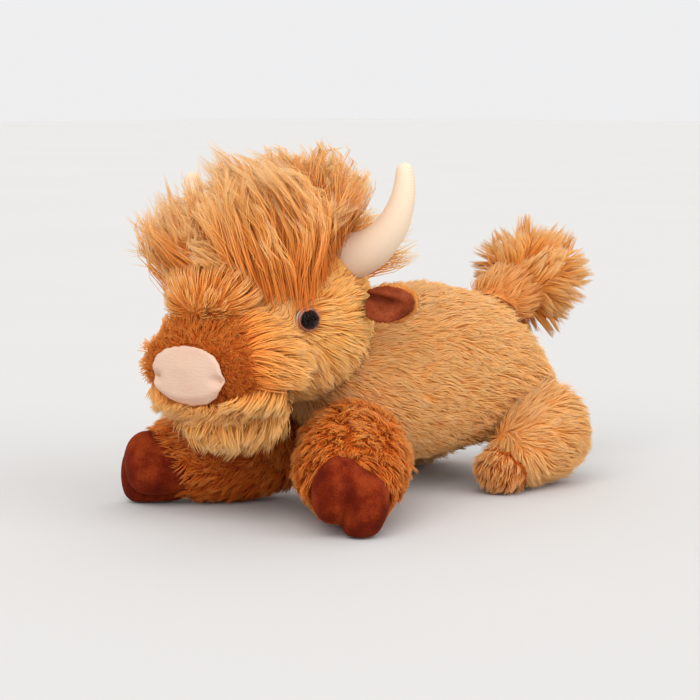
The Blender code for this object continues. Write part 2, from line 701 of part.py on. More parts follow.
def build_floor():
    """A slab whose top is the floor, which flattens what stands on it."""
    mesh = bpy.data.meshes.new("floor")
    shape = bmesh.new()
    bmesh.ops.create_cube(shape, size=1)
    shape.transform(Matrix.Diagonal((2 * CUTTER_REACH, 2 * CUTTER_REACH, CUTTER_REACH, 1)))
    shape.transform(Matrix.Translation((0, 0, -CUTTER_REACH / 2)))
    shape.to_mesh(mesh)
    shape.free()
    return mesh


clear_scene()
parts = new_collection("plush_cow")
cutters = new_collection("seam_cutters")
floor_mesh = build_floor()
torso_carrier, torso_shape, torso_cutter = build_torso()
build_head(torso_carrier, torso_cutter)
build_forelegs(torso_carrier, torso_shape, torso_cutter)
build_hind_legs(torso_carrier, torso_shape, torso_cutter)
build_tail(torso_carrier, torso_shape, torso_cutter)
bpy.context.view_layer.update()
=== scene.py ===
"""Looks of the long-haired plush cow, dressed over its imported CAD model."""

import logging
import math
from collections.abc import Callable, Sequence
from dataclasses import dataclass
from enum import Enum
from functools import lru_cache

import bpy
import numpy as np
from mathutils import Matrix, Vector
from mathutils.bvhtree import BVHTree
from mathutils.kdtree import KDTree


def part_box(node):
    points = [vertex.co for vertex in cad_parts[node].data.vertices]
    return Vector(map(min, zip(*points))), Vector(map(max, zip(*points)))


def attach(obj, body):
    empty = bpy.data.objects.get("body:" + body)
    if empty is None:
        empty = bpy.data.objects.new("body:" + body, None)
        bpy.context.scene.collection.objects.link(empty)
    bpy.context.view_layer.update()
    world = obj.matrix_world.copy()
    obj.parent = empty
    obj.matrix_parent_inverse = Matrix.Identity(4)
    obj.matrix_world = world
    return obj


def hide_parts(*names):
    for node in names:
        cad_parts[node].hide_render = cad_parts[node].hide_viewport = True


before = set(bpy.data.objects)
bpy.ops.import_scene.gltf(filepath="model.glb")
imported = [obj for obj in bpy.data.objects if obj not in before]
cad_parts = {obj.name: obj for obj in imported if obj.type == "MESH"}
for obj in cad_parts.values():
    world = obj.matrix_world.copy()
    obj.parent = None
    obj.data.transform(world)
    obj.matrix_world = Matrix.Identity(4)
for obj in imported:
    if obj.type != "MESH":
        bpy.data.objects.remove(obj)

log = logging.getLogger("plush_cow")

Socket = bpy.types.NodeSocket
Piece = bpy.types.Object
Rows = np.ndarray
Chance = np.random.Generator
Colour = tuple[float, float, float]
Flow = Callable[[Rows, Rows], Rows]
Measure = Callable[[Rows], Rows]

HAIR_MAP = "OFBake"
PANEL_TRIANGLES = 190_000
FLOOR_MARGIN = 0.0005
DOUBLES = 0.00002
TUFT_LOCKS = 9
FACING_SHARE = 0.45
HAIR_GLOW_DEPTH = 0.0006
LOCK_SHARE = 0.7
LIFT_STRAY = 4.0
UNEVEN_SHARE = 0.6
HAIR_TONE_SHARE = 0.8
TAPER = 0.75
ROUNDNESS = 0.55
SHADING_LIFT = (0.22, -0.26, 0.36)

# The head's own frame: its middle, and how it is turned and tilted
HEAD_FRAME = (
    Matrix.Translation((-0.0100, -0.0961, 0.136))
    @ Matrix.Rotation(math.radians(-3.0), 4, "Y")
    @ Matrix.Rotation(math.radians(8.0), 4, "Z")
)


class Side(Enum):
    """The cow's own left and right."""

    LEFT = 1
    RIGHT = -1

    @property
    def word(self) -> str:
        """The side's word in a piece's name."""
        return self.name.lower()


def display_colour(red: float, green: float, blue: float) -> Colour:
    """Turns a colour as a screen shows it into the linear one that shaders take.

    Args:
        red: Red from 0 to 255.
        green: Green from 0 to 255.
        blue: Blue from 0 to 255.

    Returns:
        The three linear values.
    """
    shares = (red / 255, green / 255, blue / 255)
    return tuple(s / 12.92 if s <= 0.04045 else ((s + 0.055) / 1.055) ** 2.4 for s in shares)


def shades(*colours: tuple[float, float, float]) -> tuple[Colour, ...]:
    """Turns a row of screen colours into linear ones."""
    return tuple(display_colour(*colour) for colour in colours)


class Graph:
    """A material's nodes, added and linked from left to right."""

    def __init__(self, name: str) -> None:
        """Starts a material of one Principled shader.

        Args:
            name: The material's name.
        """
        self.material = bpy.data.materials.new(name)
        self.material.use_nodes = True
        self.nodes = self.material.node_tree.nodes
        self.shader = self.nodes["Principled BSDF"]

    def add(self, kind: str, **settings: object) -> bpy.types.Node:
        """Adds a node and sets its properties.

        Args:
            kind: The node's type name.
            **settings: Properties of the node.

        Returns:
            The new node.
        """
        node = self.nodes.new(kind)
        for key, value in settings.items():
            setattr(node, key, value)
        return node

    def link(self, source: Socket, target: Socket) -> None:
        """Joins one socket to another."""
        self.material.node_tree.links.new(source, target)

    def ramp(self, factor: Socket, stops: Sequence[tuple[float, Colour]]) -> Socket:
        """Reads a row of colours by a factor.

        Args:
            factor: What picks the colour.
            stops: Places from 0 to 1, each with its colour.

        Returns:
            The colour's socket.
        """
        node = self.add("ShaderNodeValToRGB")
        elements = node.color_ramp.elements
        while len(elements) < len(stops):
            elements.new(0.5)
        for element, (place, colour) in zip(elements, stops):
            element.position = place
            element.color = (*colour, 1.0)
        self.link(factor, node.inputs["Fac"])
        return node.outputs["Color"]

    def base(self, factor: Socket, stops: Sequence[tuple[float, Colour]]) -> None:
        """Colours the surface by a factor."""
        self.link(self.ramp(factor, stops), self.shader.inputs["Base Color"])

    def mix(self, factor: Socket, first: Socket, second: Socket) -> Socket:
        """Blends two colours.

        Args:
            factor: 0 gives the first colour and 1 the second.
            first: The first colour.
            second: The second colour.

        Returns:
            The blended colour's socket.
        """
        node = self.add("ShaderNodeMix", data_type="RGBA")
        self.link(factor, node.inputs["Factor"])
        self.link(first, node.inputs["A"])
        self.link(second, node.inputs["B"])
        return node.outputs["Result"]

    def place(self, scale: Sequence[float] = (1, 1, 1), turn: Sequence[float] = (0, 0, 0)) -> Socket:
        """Gives Object coordinates, stretched and turned by a Mapping node.

        Args:
            scale: How much each axis is stretched.
            turn: The turn about each axis, in degrees.

        Returns:
            The coordinates' socket.
        """
        source = self.add("ShaderNodeTexCoord")
        mapping = self.add("ShaderNodeMapping")
        mapping.inputs["Scale"].default_value = scale
        mapping.inputs["Rotation"].default_value = [math.radians(angle) for angle in turn]
        self.link(source.outputs["Object"], mapping.inputs["Vector"])
        return mapping.outputs["Vector"]

    def noise(self, where: Socket, scale: float, detail: float = 3.0) -> Socket:
        """Adds soft random blotches.

        Args:
            where: The coordinates to read.
            scale: Blotches per metre.
            detail: How many finer layers are added.

        Returns:
            The blotches' height from 0 to 1.
        """
        node = self.add("ShaderNodeTexNoise")
        node.inputs["Scale"].default_value = scale
        node.inputs["Detail"].default_value = detail
        self.link(where, node.inputs["Vector"])
        return node.outputs["Fac"]

    def bump(self, height: Socket, distance: float, strength: float = 1.0) -> None:
        """Raises the surface, over any bump it has already.

        Args:
            height: The pattern from 0 to 1.
            distance: The height of 1, in metres.
            strength: The share of the bump that shows.
        """
        node = self.add("ShaderNodeBump")
        node.inputs["Distance"].default_value = distance
        node.inputs["Strength"].default_value = strength
        self.link(height, node.inputs["Height"])
        before = self.shader.inputs["Normal"].links
        if before:
            self.link(before[0].from_socket, node.inputs["Normal"])
        self.link(node.outputs["Normal"], self.shader.inputs["Normal"])

    def finish(
        self,
        roughness: float,
        sheen: float = 0.0,
        specular: float = 0.5,
        tint: Colour = (1.0, 1.0, 1.0),
    ) -> None:
        """Sets what is the same all over the surface.

        Args:
            roughness: The shader's roughness.
            sheen: The weight of its sheen.
            specular: Its specular level.
            tint: The colour of its sheen.
        """
        self.shader.inputs["Roughness"].default_value = roughness
        self.shader.inputs["Sheen Weight"].default_value = sheen
        self.shader.inputs["Sheen Roughness"].default_value = 0.5
        self.shader.inputs["Sheen Tint"].default_value = (*tint, 1.0)
        self.shader.inputs["Specular IOR Level"].default_value = specular


@dataclass(frozen=True)
class Finish:
    """One look: its material's name and the name of its slot."""

    name: str
    slot: str

    def paint(self, graph: Graph) -> None:
        """Builds the look's nodes in a graph."""
        raise NotImplementedError

    def material(self) -> bpy.types.Material:
        """Makes the material on its first use.

        Returns:
            The look's material.
        """
        made = bpy.data.materials.get(self.name)
        if made is None:
            graph = Graph(self.name)
            self.paint(graph)
            made = graph.material
        return made


@dataclass(frozen=True)
class FurFinish(Finish):
    """Faux fur whose hairs differ in tone; each hair is painted darker toward its root, as painted shade
    among the hairs.
    """

    dark: tuple[Colour, Colour, Colour]
    light: tuple[Colour, Colour, Colour]
    stops: tuple[float, float, float] = (0.0, 0.45, 1.0)
    roughness: float = 0.75
    sheen: float = 0.04
    glow: float = 0.45

    def paint(self, graph: Graph) -> None:
        """Builds the look's nodes.

        Args:
            graph: The material's nodes.
        """
        hair = graph.add("ShaderNodeUVMap", uv_map=HAIR_MAP)
        split = graph.add("ShaderNodeSeparateXYZ")
        graph.link(hair.outputs["UV"], split.inputs["Vector"])
        # Along each hair the colour runs from dark at the root to pale at the tip: the darker roots are
        # painted shade among the hairs.
        dark = graph.ramp(split.outputs["Y"], tuple(zip(self.stops, self.dark)))
        light = graph.ramp(split.outputs["Y"], tuple(zip(self.stops, self.light)))
        colour = graph.mix(split.outputs["X"], dark, light)
        graph.link(colour, graph.shader.inputs["Base Color"])
        graph.shader.inputs["Subsurface Weight"].default_value = self.glow
        graph.shader.inputs["Subsurface Radius"].default_value = (1.0, 1.0, 1.0)
        graph.shader.inputs["Subsurface Scale"].default_value = HAIR_GLOW_DEPTH
        graph.finish(self.roughness, sheen=self.sheen, specular=0.12, tint=self.light[1])


@dataclass(frozen=True)
class BackingFinish(Finish):
    """The knitted cloth that the hairs are rooted in."""

    low: Colour
    high: Colour

    def paint(self, graph: Graph) -> None:
        """Builds the look's nodes.

        Args:
            graph: The material's nodes.
        """
        where = graph.place()
        blotch = graph.noise(where, 160.0)
        graph.base(blotch, ((0.3, self.low), (0.7, self.high)))
        graph.bump(graph.noise(where, 1400.0, 2.0), 0.0006)
        graph.finish(0.9, sheen=0.2, specular=0.1, tint=self.high)


@dataclass(frozen=True)
class SuedeFinish(Finish):
    """Brown suede cloth with a short nap that is brushed light and dark."""

    deep: Colour
    middle: Colour
    brushed: Colour
    nap: float = 0.00035

    def paint(self, graph: Graph) -> None:
        """Builds the look's nodes.

        Args:
            graph: The material's nodes.
        """
        where = graph.place()
        strokes = graph.noise(where, 60.0, 5.0)
        fine = graph.noise(where, 1100.0, 2.0)
        blend = graph.add("ShaderNodeMath", operation="MULTIPLY_ADD")
        graph.link(fine, blend.inputs[0])
        blend.inputs[1].default_value = 0.35
        graph.link(strokes, blend.inputs[2])
        stops = ((0.50, self.deep), (0.66, self.middle), (0.84, self.brushed))
        graph.base(blend.outputs["Value"], stops)
        graph.bump(graph.noise(where, 1500.0, 3.0), self.nap, 0.9)
        graph.bump(strokes, 0.0012, 0.4)
        graph.finish(0.9, sheen=0.30, specular=0.08, tint=self.brushed)


@dataclass(frozen=True)
class PlushFinish(Finish):
    """Pale short plush with a faint crosswise grain and warmer blotches."""

    pale: Colour
    warm: Colour

    def paint(self, graph: Graph) -> None:
        """Builds the look's nodes.

        Args:
            graph: The material's nodes.
        """
        where = graph.place()
        blotch = graph.noise(where, 55.0, 2.0)
        graph.base(blotch, ((0.35, self.pale), (0.75, self.warm)))
        grain = graph.place(scale=(0.45, 0.45, 1.6))
        graph.bump(graph.noise(grain, 700.0, 3.0), 0.0006, 0.8)
        graph.bump(graph.noise(where, 2200.0, 2.0), 0.0003, 0.6)
        graph.finish(0.85, sheen=0.15, specular=0.15, tint=self.pale)


@dataclass(frozen=True)
class RibbedFinish(Finish):
    """Cream cloth with fine straight ribs across it, painted darker in the grooves as painted shade."""

    shaded_groove: Colour
    ridge: Colour
    pitch: float = 0.0012
    slant: float = 47.0

    def paint(self, graph: Graph) -> None:
        """Builds the look's nodes.

        Args:
            graph: The material's nodes.
        """
        where = graph.place()
        along = graph.place(turn=(0, self.slant, 0))
        ribs = graph.add("ShaderNodeTexWave", wave_type="BANDS", bands_direction="X", wave_profile="SIN")
        ribs.inputs["Scale"].default_value = math.pi / (10 * self.pitch)
        ribs.inputs["Distortion"].default_value = 0.25
        ribs.inputs["Detail"].default_value = 1.0
        graph.link(along, ribs.inputs["Vector"])
        # The grooves are painted darker than the ridges: painted shade in the ribs' hollows.
        graph.base(ribs.outputs["Fac"], ((0.0, self.shaded_groove), (0.7, self.ridge)))
        graph.bump(ribs.outputs["Fac"], 0.0001, 0.5)
        graph.bump(graph.noise(where, 1800.0, 2.0), 0.0002, 0.5)
        graph.finish(0.85, sheen=0.15, specular=0.12, tint=self.ridge)


@dataclass(frozen=True)
class GlossFinish(Finish):
    """Glossy moulded plastic with a faint cloud in its colour."""

    low: Colour
    high: Colour
    roughness: float = 0.08
    specular: float = 0.5

    def paint(self, graph: Graph) -> None:
        """Builds the look's nodes.

        Args:
            graph: The material's nodes.
        """
        cloud = graph.noise(graph.place(), 420.0)
        graph.base(cloud, ((0.35, self.low), (0.65, self.high)))
        graph.finish(self.roughness, specular=self.specular)


GOLDEN_FUR = FurFinish(
    "body_fur",
    "golden_fur",
    shades((215, 121, 52), (228, 144, 72), (236, 159, 88)),
    shades((228, 144, 72), (240, 173, 103), (242, 188, 125)),
)
CHEEK_FUR = FurFinish(
    "cheek_fur",
    "golden_fur",
    shades((218, 115, 41), (242, 145, 63), (252, 164, 82)),
    shades((240, 143, 61), (255, 173, 90), (255, 195, 121)),
)
MOP_FUR = FurFinish(
    "mop_fur",
    "pale_fur",
    shades((190, 88, 25), (222, 123, 45), (252, 169, 86)),
    shades((226, 129, 47), (250, 163, 76), (255, 211, 142)),
    stops=(0.0, 0.5, 1.0),
)
CURLY_FUR = FurFinish(
    "curly_fur",
    "golden_fur",
    shades((127, 36, 3), (171, 60, 7), (198, 79, 16)),
    shades((173, 64, 10), (226, 112, 32), (241, 150, 63)),
)
MUZZLE_FUR = FurFinish(
    "muzzle_fur",
    "rusty_fur",
    shades((139, 45, 6), (163, 62, 11), (184, 79, 20)),
    shades((163, 64, 12), (194, 91, 25), (217, 119, 41)),
)
HOOF_FUR = FurFinish(
    "hoof_fur",
    "brown_suede",
    shades((148, 66, 24), (196, 108, 46), (226, 144, 74)),
    shades((186, 98, 42), (230, 150, 80), (248, 184, 116)),
)
GOLDEN_BACKING = BackingFinish(
    "golden_backing", "golden_fur", display_colour(214, 132, 60), display_colour(232, 154, 80)
)
RUSTY_BACKING = BackingFinish(
    "rusty_backing", "rusty_fur", display_colour(160, 70, 18), display_colour(188, 92, 30)
)
HOOF_SUEDE = SuedeFinish(
    "hoof_suede",
    "brown_suede",
    display_colour(76, 17, 4),
    display_colour(100, 27, 6),
    display_colour(134, 50, 18),
)
EAR_SUEDE = SuedeFinish(
    "ear_suede",
    "brown_suede",
    display_colour(92, 36, 18),
    display_colour(124, 54, 28),
    display_colour(152, 76, 46),
)
NOSE_PLUSH = PlushFinish(
    "nose_plush", "pink_plush", display_colour(214, 182, 162), display_colour(210, 172, 150)
)
HORN_CLOTH = RibbedFinish(
    "horn_cloth", "cream_fabric", display_colour(221, 196, 169), display_colour(229, 208, 184)
)
PUPIL_GLOSS = GlossFinish(
    "pupil_gloss",
    "black_gloss",
    (0.004, 0.003, 0.003),
    (0.009, 0.006, 0.005),
    roughness=0.14,
    specular=0.22,
)
RIM_GLOSS = GlossFinish(
    "rim_gloss",
    "brown_gloss",
    display_colour(120, 66, 50),
    display_colour(172, 112, 92),
    roughness=0.3,
)
WASHER_PLASTIC = GlossFinish(
    "washer_plastic",
    "white_plastic",
    display_colour(222, 222, 220),
    display_colour(236, 236, 234),
    roughness=0.4,
)


def pick(obj: Piece) -> None:
    """Makes an object the only one selected and the active one."""
    bpy.ops.object.select_all(action="DESELECT")
    obj.select_set(True)
    bpy.context.view_layer.objects.active = obj


def apply_modifiers(obj: Piece) -> None:
    """Applies every modifier of an object in order."""
    pick(obj)
    for modifier in list(obj.modifiers):
        bpy.ops.object.modifier_apply(modifier=modifier.name)


def open_edit() -> None:
    """Enters edit mode with everything selected."""
    bpy.ops.object.mode_set(mode="EDIT")
    bpy.ops.mesh.select_all(action="SELECT")


def close_edit() -> None:
    """Turns every face outward and leaves edit mode."""
    bpy.ops.mesh.select_all(action="SELECT")
    bpy.ops.mesh.normals_make_consistent(inside=False)
    bpy.ops.object.mode_set(mode="OBJECT")


def dress(
    obj: Piece, finish: Finish, body: str, nodes: Sequence[str] = ()
) -> Piece:
    """Gives a piece its finish, its body and the CAD nodes that it stands for.

    Args:
        obj: The piece.
        finish: One of the finishes above.
        body: The CAD body that it moves with.
        nodes: The CAD nodes that it replaces.

    Returns:
        The piece.
    """
    obj.data.materials.clear()
    obj.data.materials.append(finish.material())
    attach(obj, body)
    if nodes:
        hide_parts(*nodes)
    return obj


def tree_of(mesh: bpy.types.Mesh) -> BVHTree:
    """Gives the search tree of a mesh's surface."""
    places = [vertex.co.copy() for vertex in mesh.vertices]
    return BVHTree.FromPolygons(places, [tuple(face.vertices) for face in mesh.polygons])


@lru_cache
def node_tree_of(node: str) -> BVHTree:
    """Gives the search tree of a CAD node's surface."""
    return tree_of(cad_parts[node].data)


def closeness(places: Rows, nodes: Sequence[str], reach: float) -> Rows:
    """Says how close places lie to CAD nodes: 1 at a node's surface, and 0 far from it.

    Args:
        places: The places.
        nodes: The nodes.
        reach: The distance over which it falls off.

    Returns:
        One value a place.
    """
    found = np.zeros(len(places))
    for node in nodes:
        tree = node_tree_of(node)
        hits = (tree.find_nearest(Vector(place), 3 * reach)[3] for place in places)
        apart = np.array([3 * reach if hit is None else hit for hit in hits])
        found = np.maximum(found, hump(apart, reach))
    return found


def slope(values: Rows, start: float, run: float) -> Rows:
    """Rises from 0 at a start to 1 a run further on."""
    return np.clip((values - start) / run, 0, 1)


def hump(values: Rows, width: float) -> Rows:
    """Falls from 1 at zero to nearly 0 two widths off."""
    return np.exp(-((values / width) ** 2))


def clamped(value: float) -> float:
    """Keeps a number from 0 to 1."""
    return min(max(value, 0.0), 1.0)


def steady(places: Rows, aside: float, behind: float, above: float) -> Rows:
    """Gives every place the same way."""
    return np.tile(np.array((aside, behind, above), dtype=float), (len(places), 1))


def unit(vectors: Rows) -> Rows:
    """Scales each row to a length of 1."""
    return vectors / np.maximum(np.linalg.norm(vectors, axis=-1, keepdims=True), 1e-12)


def into(matrix: Matrix, places: Rows) -> Rows:
    """Carries rows of points by a matrix.

    Args:
        matrix: The 4 by 4 matrix.
        places: The points, one a row.

    Returns:
        The carried points.
    """
    rows = np.array(matrix)
    return places @ rows[:3, :3].T + rows[:3, 3]


def turned(matrix: Matrix, vectors: Rows) -> Rows:
    """Turns rows of directions by a matrix, without moving them."""
    return vectors @ np.array(matrix)[:3, :3].T


@dataclass
class Padding:
    """A stuffed form made from CAD nodes: joined, remeshed, smoothed and swollen."""

    name: str
    nodes: tuple[str, ...]
    voxel: float = 0.004
    swell: float = 0.0
    smoothing: int = 8
    fill: float = 0.8
    share: float = 1.0
    hull: bool = False

    def build(self) -> Piece:
        """Builds the padded form where its nodes are.

        Returns:
            The form, with its place in its mesh.
        """
        copies = []
        for node in self.nodes:
            copy = bpy.data.objects.new(self.name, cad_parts[node].data.copy())
            bpy.context.scene.collection.objects.link(copy)
            copies.append(copy)
        pick(copies[0])
        for copy in copies[1:]:
            copy.select_set(True)
        if len(copies) > 1:
            bpy.ops.object.join()
        form = bpy.context.view_layer.objects.active
        open_edit()
        bpy.ops.mesh.remove_doubles(threshold=DOUBLES)
        low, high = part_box(self.nodes[0])
        bpy.ops.transform.resize(value=(self.share,) * 3, center_override=(low + high) / 2)
        if self.hull:
            bpy.ops.mesh.convex_hull()
        bpy.ops.object.mode_set(mode="OBJECT")
        remesh = form.modifiers.new("even cloth", "REMESH")
        remesh.mode = "VOXEL"
        remesh.voxel_size = self.voxel
        smooth = form.modifiers.new("soft", "SMOOTH")
        smooth.factor = 0.5
        smooth.iterations = self.smoothing
        if self.swell:
            swell = form.modifiers.new("swell", "DISPLACE")
            swell.strength = self.swell
            swell.mid_level = 0.0
        apply_modifiers(form)
        bpy.ops.object.shade_smooth()
        return form


@dataclass(frozen=True)
class Roots:
    """Where hairs leave the cloth, and the cloth's normals there."""

    places: Rows
    normals: Rows

    def some(self, keep: Rows) -> "Roots":
        """Keeps the roots that a mask picks."""
        return Roots(self.places[keep], self.normals[keep])


def scatter(form: Piece, density: float, rng: Chance) -> Roots:
    """Scatters roots evenly over a form.

    Args:
        form: The cloth that the hairs grow from.
        density: Hairs to a square metre.
        rng: The seeded source of chance.

    Returns:
        The roots.
    """
    mesh = form.data
    mesh.calc_loop_triangles()
    places = np.empty(len(mesh.vertices) * 3)
    mesh.vertices.foreach_get("co", places)
    places = places.reshape(-1, 3)
    normals = np.empty(len(mesh.vertices) * 3)
    mesh.vertices.foreach_get("normal", normals)
    normals = normals.reshape(-1, 3)
    corners = np.empty(len(mesh.loop_triangles) * 3, dtype=np.int64)
    mesh.loop_triangles.foreach_get("vertices", corners)
    corners = corners.reshape(-1, 3)
    first, second, third = (places[corners[:, index]] for index in range(3))
    areas = 0.5 * np.linalg.norm(np.cross(second - first, third - first), axis=1)
    count = int(areas.sum() * density)
    chosen = rng.choice(len(areas), size=count, p=areas / areas.sum())
    one, two = rng.random(count), rng.random(count)
    folded = one + two > 1
    one[folded], two[folded] = 1 - one[folded], 1 - two[folded]
    weights = np.stack((1 - one - two, one, two), axis=1)[:, :, None]
    return Roots(
        (places[corners[chosen]] * weights).sum(axis=1),
        unit((normals[corners[chosen]] * weights).sum(axis=1)),
    )


class Bounds:
    """Solids that keep roots of fur away, since their seam or skin lies there."""

    def __init__(
        self,
        inside: Sequence[str] = (),
        facing: Sequence[str] = (),
        reach: float = 0.008,
        margin: float = 0.004,
        forms: Sequence[Piece] = (),
    ) -> None:
        """Notes the solids.

        Args:
            inside: Closed nodes that no root may lie in or near.
            facing: Nodes whose surface the cloth doesn't face from close by.
            reach: How close counts, in metres.
            margin: The least distance from a closed node.
            forms: Finished closed pieces that no root may lie in or near.
        """
        self.inside = [node_tree_of(node) for node in inside] + [tree_of(form.data) for form in forms]
        self.facing = [node_tree_of(node) for node in facing]
        self.reach = reach
        self.margin = margin

    def clear(self, roots: Roots) -> Rows:
        """Says which roots are free of the solids.

        Args:
            roots: The roots to test.

        Returns:
            A mask, true where a root is free.
        """
        free = np.ones(len(roots.places), dtype=bool)
        for index, (place, normal) in enumerate(zip(roots.places, roots.normals)):
            point = Vector(place)
            outward = Vector(normal)
            for tree in self.inside:
                spot, facet, _, distance = tree.find_nearest(point)
                if distance < self.margin or (point - spot).dot(facet) < 0:
                    free[index] = False
            for tree in self.facing:
                spot, _, _, distance = tree.find_nearest(point, self.reach)
                if spot is not None and (spot - point).dot(outward) > FACING_SHARE * distance:
                    free[index] = False
        return free


@dataclass(frozen=True)
class Pile:
    """How one kind of fur grows. Lengths are in metres and angles in degrees."""

    density: float
    length: float
    spread: float = 0.12
    width: float = 0.00055
    lean: tuple[float, float] = (30.0, 76.0)
    stray: float = 9.0
    lock: float = 0.006
    lock_stray: float = 12.0
    gather: float = 0.5
    bunch: float = 0.15
    curl: float = 0.0
    curl_turns: float = 1.2
    droop: float = 0.0
    points: int = 4
    tone_spread: float = 0.12


def nearest_leads(places: Rows, leads: Rows) -> Rows:
    """Finds the lead hair that each hair joins.

    Args:
        places: The hairs' roots.
        leads: The lead hairs' roots.

    Returns:
        The index of each hair's lead.
    """
    tree = KDTree(len(leads))
    for index, lead in enumerate(leads):
        tree.insert(lead, index)
    tree.balance()
    return np.array([tree.find(place)[1] for place in places])


def share_out(places: Rows, number: int, rng: Chance) -> tuple[Rows, Rows]:
    """Shares hairs out into locks.

    Args:
        places: The hairs' roots.
        number: How many locks there are.
        rng: The seeded source of chance.

    Returns:
        The indices of the lead hairs and each hair's place among them.
    """
    number = max(1, min(number, len(places)))
    leads = rng.choice(len(places), size=number, replace=False)
    return leads, nearest_leads(places, places[leads])


def gathered(
    paths: Rows, leads: Rows, owners: Rows, gather: float, delay: float = 1.2
) -> Rows:
    """Draws hairs together toward their lead hair, more and more toward the tip.

    Args:
        paths: The hairs' points.
        leads: The indices of the lead hairs.
        owners: Each hair's place in the leads.
        gather: How far the tips are drawn, from 0 to 1.
        delay: How long the hairs stay apart: 1 draws them evenly, and more keeps them for the tips.

    Returns:
        The drawn points.
    """
    share = np.linspace(0, 1, paths.shape[1])[None, :, None]
    lead = paths[leads][owners]
    return lead + (paths - lead) * (1 - gather * share**delay)


def comb(pile: Pile, roots: Roots, flow: Rows, lengths: Rows, rng: Chance) -> tuple:
    """Grows hairs that leave the cloth and lie over along a flow.

    Args:
        pile: How the fur grows.
        roots: Where the hairs start.
        flow: The way that each hair is combed.
        lengths: Each hair's length.
        rng: The seeded source of chance.

    Returns:
        The hairs' points and the tone of each hair's lock.
    """
    count = len(roots.places)
    normals = roots.normals
    along = unit(flow - normals * (flow * normals).sum(axis=1, keepdims=True))
    side = np.cross(normals, along)
    lock_count = int(count / (pile.density * pile.lock**2))
    leads, owners = share_out(roots.places, lock_count, rng)
    heads, members = share_out(roots.places, lock_count // TUFT_LOCKS, rng)
    turn = LOCK_SHARE * rng.normal(0, pile.lock_stray, len(leads))[owners] + rng.normal(0, pile.stray, count)
    turn += LOCK_SHARE * rng.normal(0, pile.lock_stray, len(heads))[members]
    turn = np.radians(turn)[:, None]
    heading = along * np.cos(turn) + side * np.sin(turn)
    lift = rng.normal(0, LIFT_STRAY, len(leads))[owners] + rng.normal(0, LIFT_STRAY, count)
    lift += rng.normal(0, LIFT_STRAY, len(heads))[members]
    lengths = lengths * (1 + pile.spread * rng.normal(0, UNEVEN_SHARE, len(leads))[owners])
    lengths = lengths * (1 + pile.spread * rng.normal(0, UNEVEN_SHARE, count))
    steps = pile.points - 1
    paths = np.empty((count, pile.points, 3))
    paths[:, 0] = roots.places
    for step in range(steps):
        share = (step + 0.5) / steps
        lean = pile.lean[0] + (pile.lean[1] - pile.lean[0]) * share**0.7
        lean = np.radians(lean + lift)[:, None]
        way = normals * np.cos(lean) + heading * np.sin(lean)
        way[:, 2] -= pile.droop * share
        paths[:, step + 1] = paths[:, step] + unit(way) * (lengths / steps)[:, None]
    if pile.curl:
        phase = rng.uniform(0, 2 * math.pi, len(leads))[owners] + rng.normal(0, 0.5, count)
        for step in range(1, pile.points):
            share = step / steps
            angle = (phase + 2 * math.pi * pile.curl_turns * share)[:, None]
            swirl = side * np.cos(angle) + normals * np.sin(angle) * 0.8
            paths[:, step] += swirl * pile.curl * share**0.6
    tones = LOCK_SHARE * rng.normal(0, 1.0, len(leads))[owners]
    tones = tones + LOCK_SHARE * rng.normal(0, 1.0, len(heads))[members]
    paths = gathered(paths, leads, owners, pile.gather)
    return gathered(paths, heads, members, pile.bunch), tones


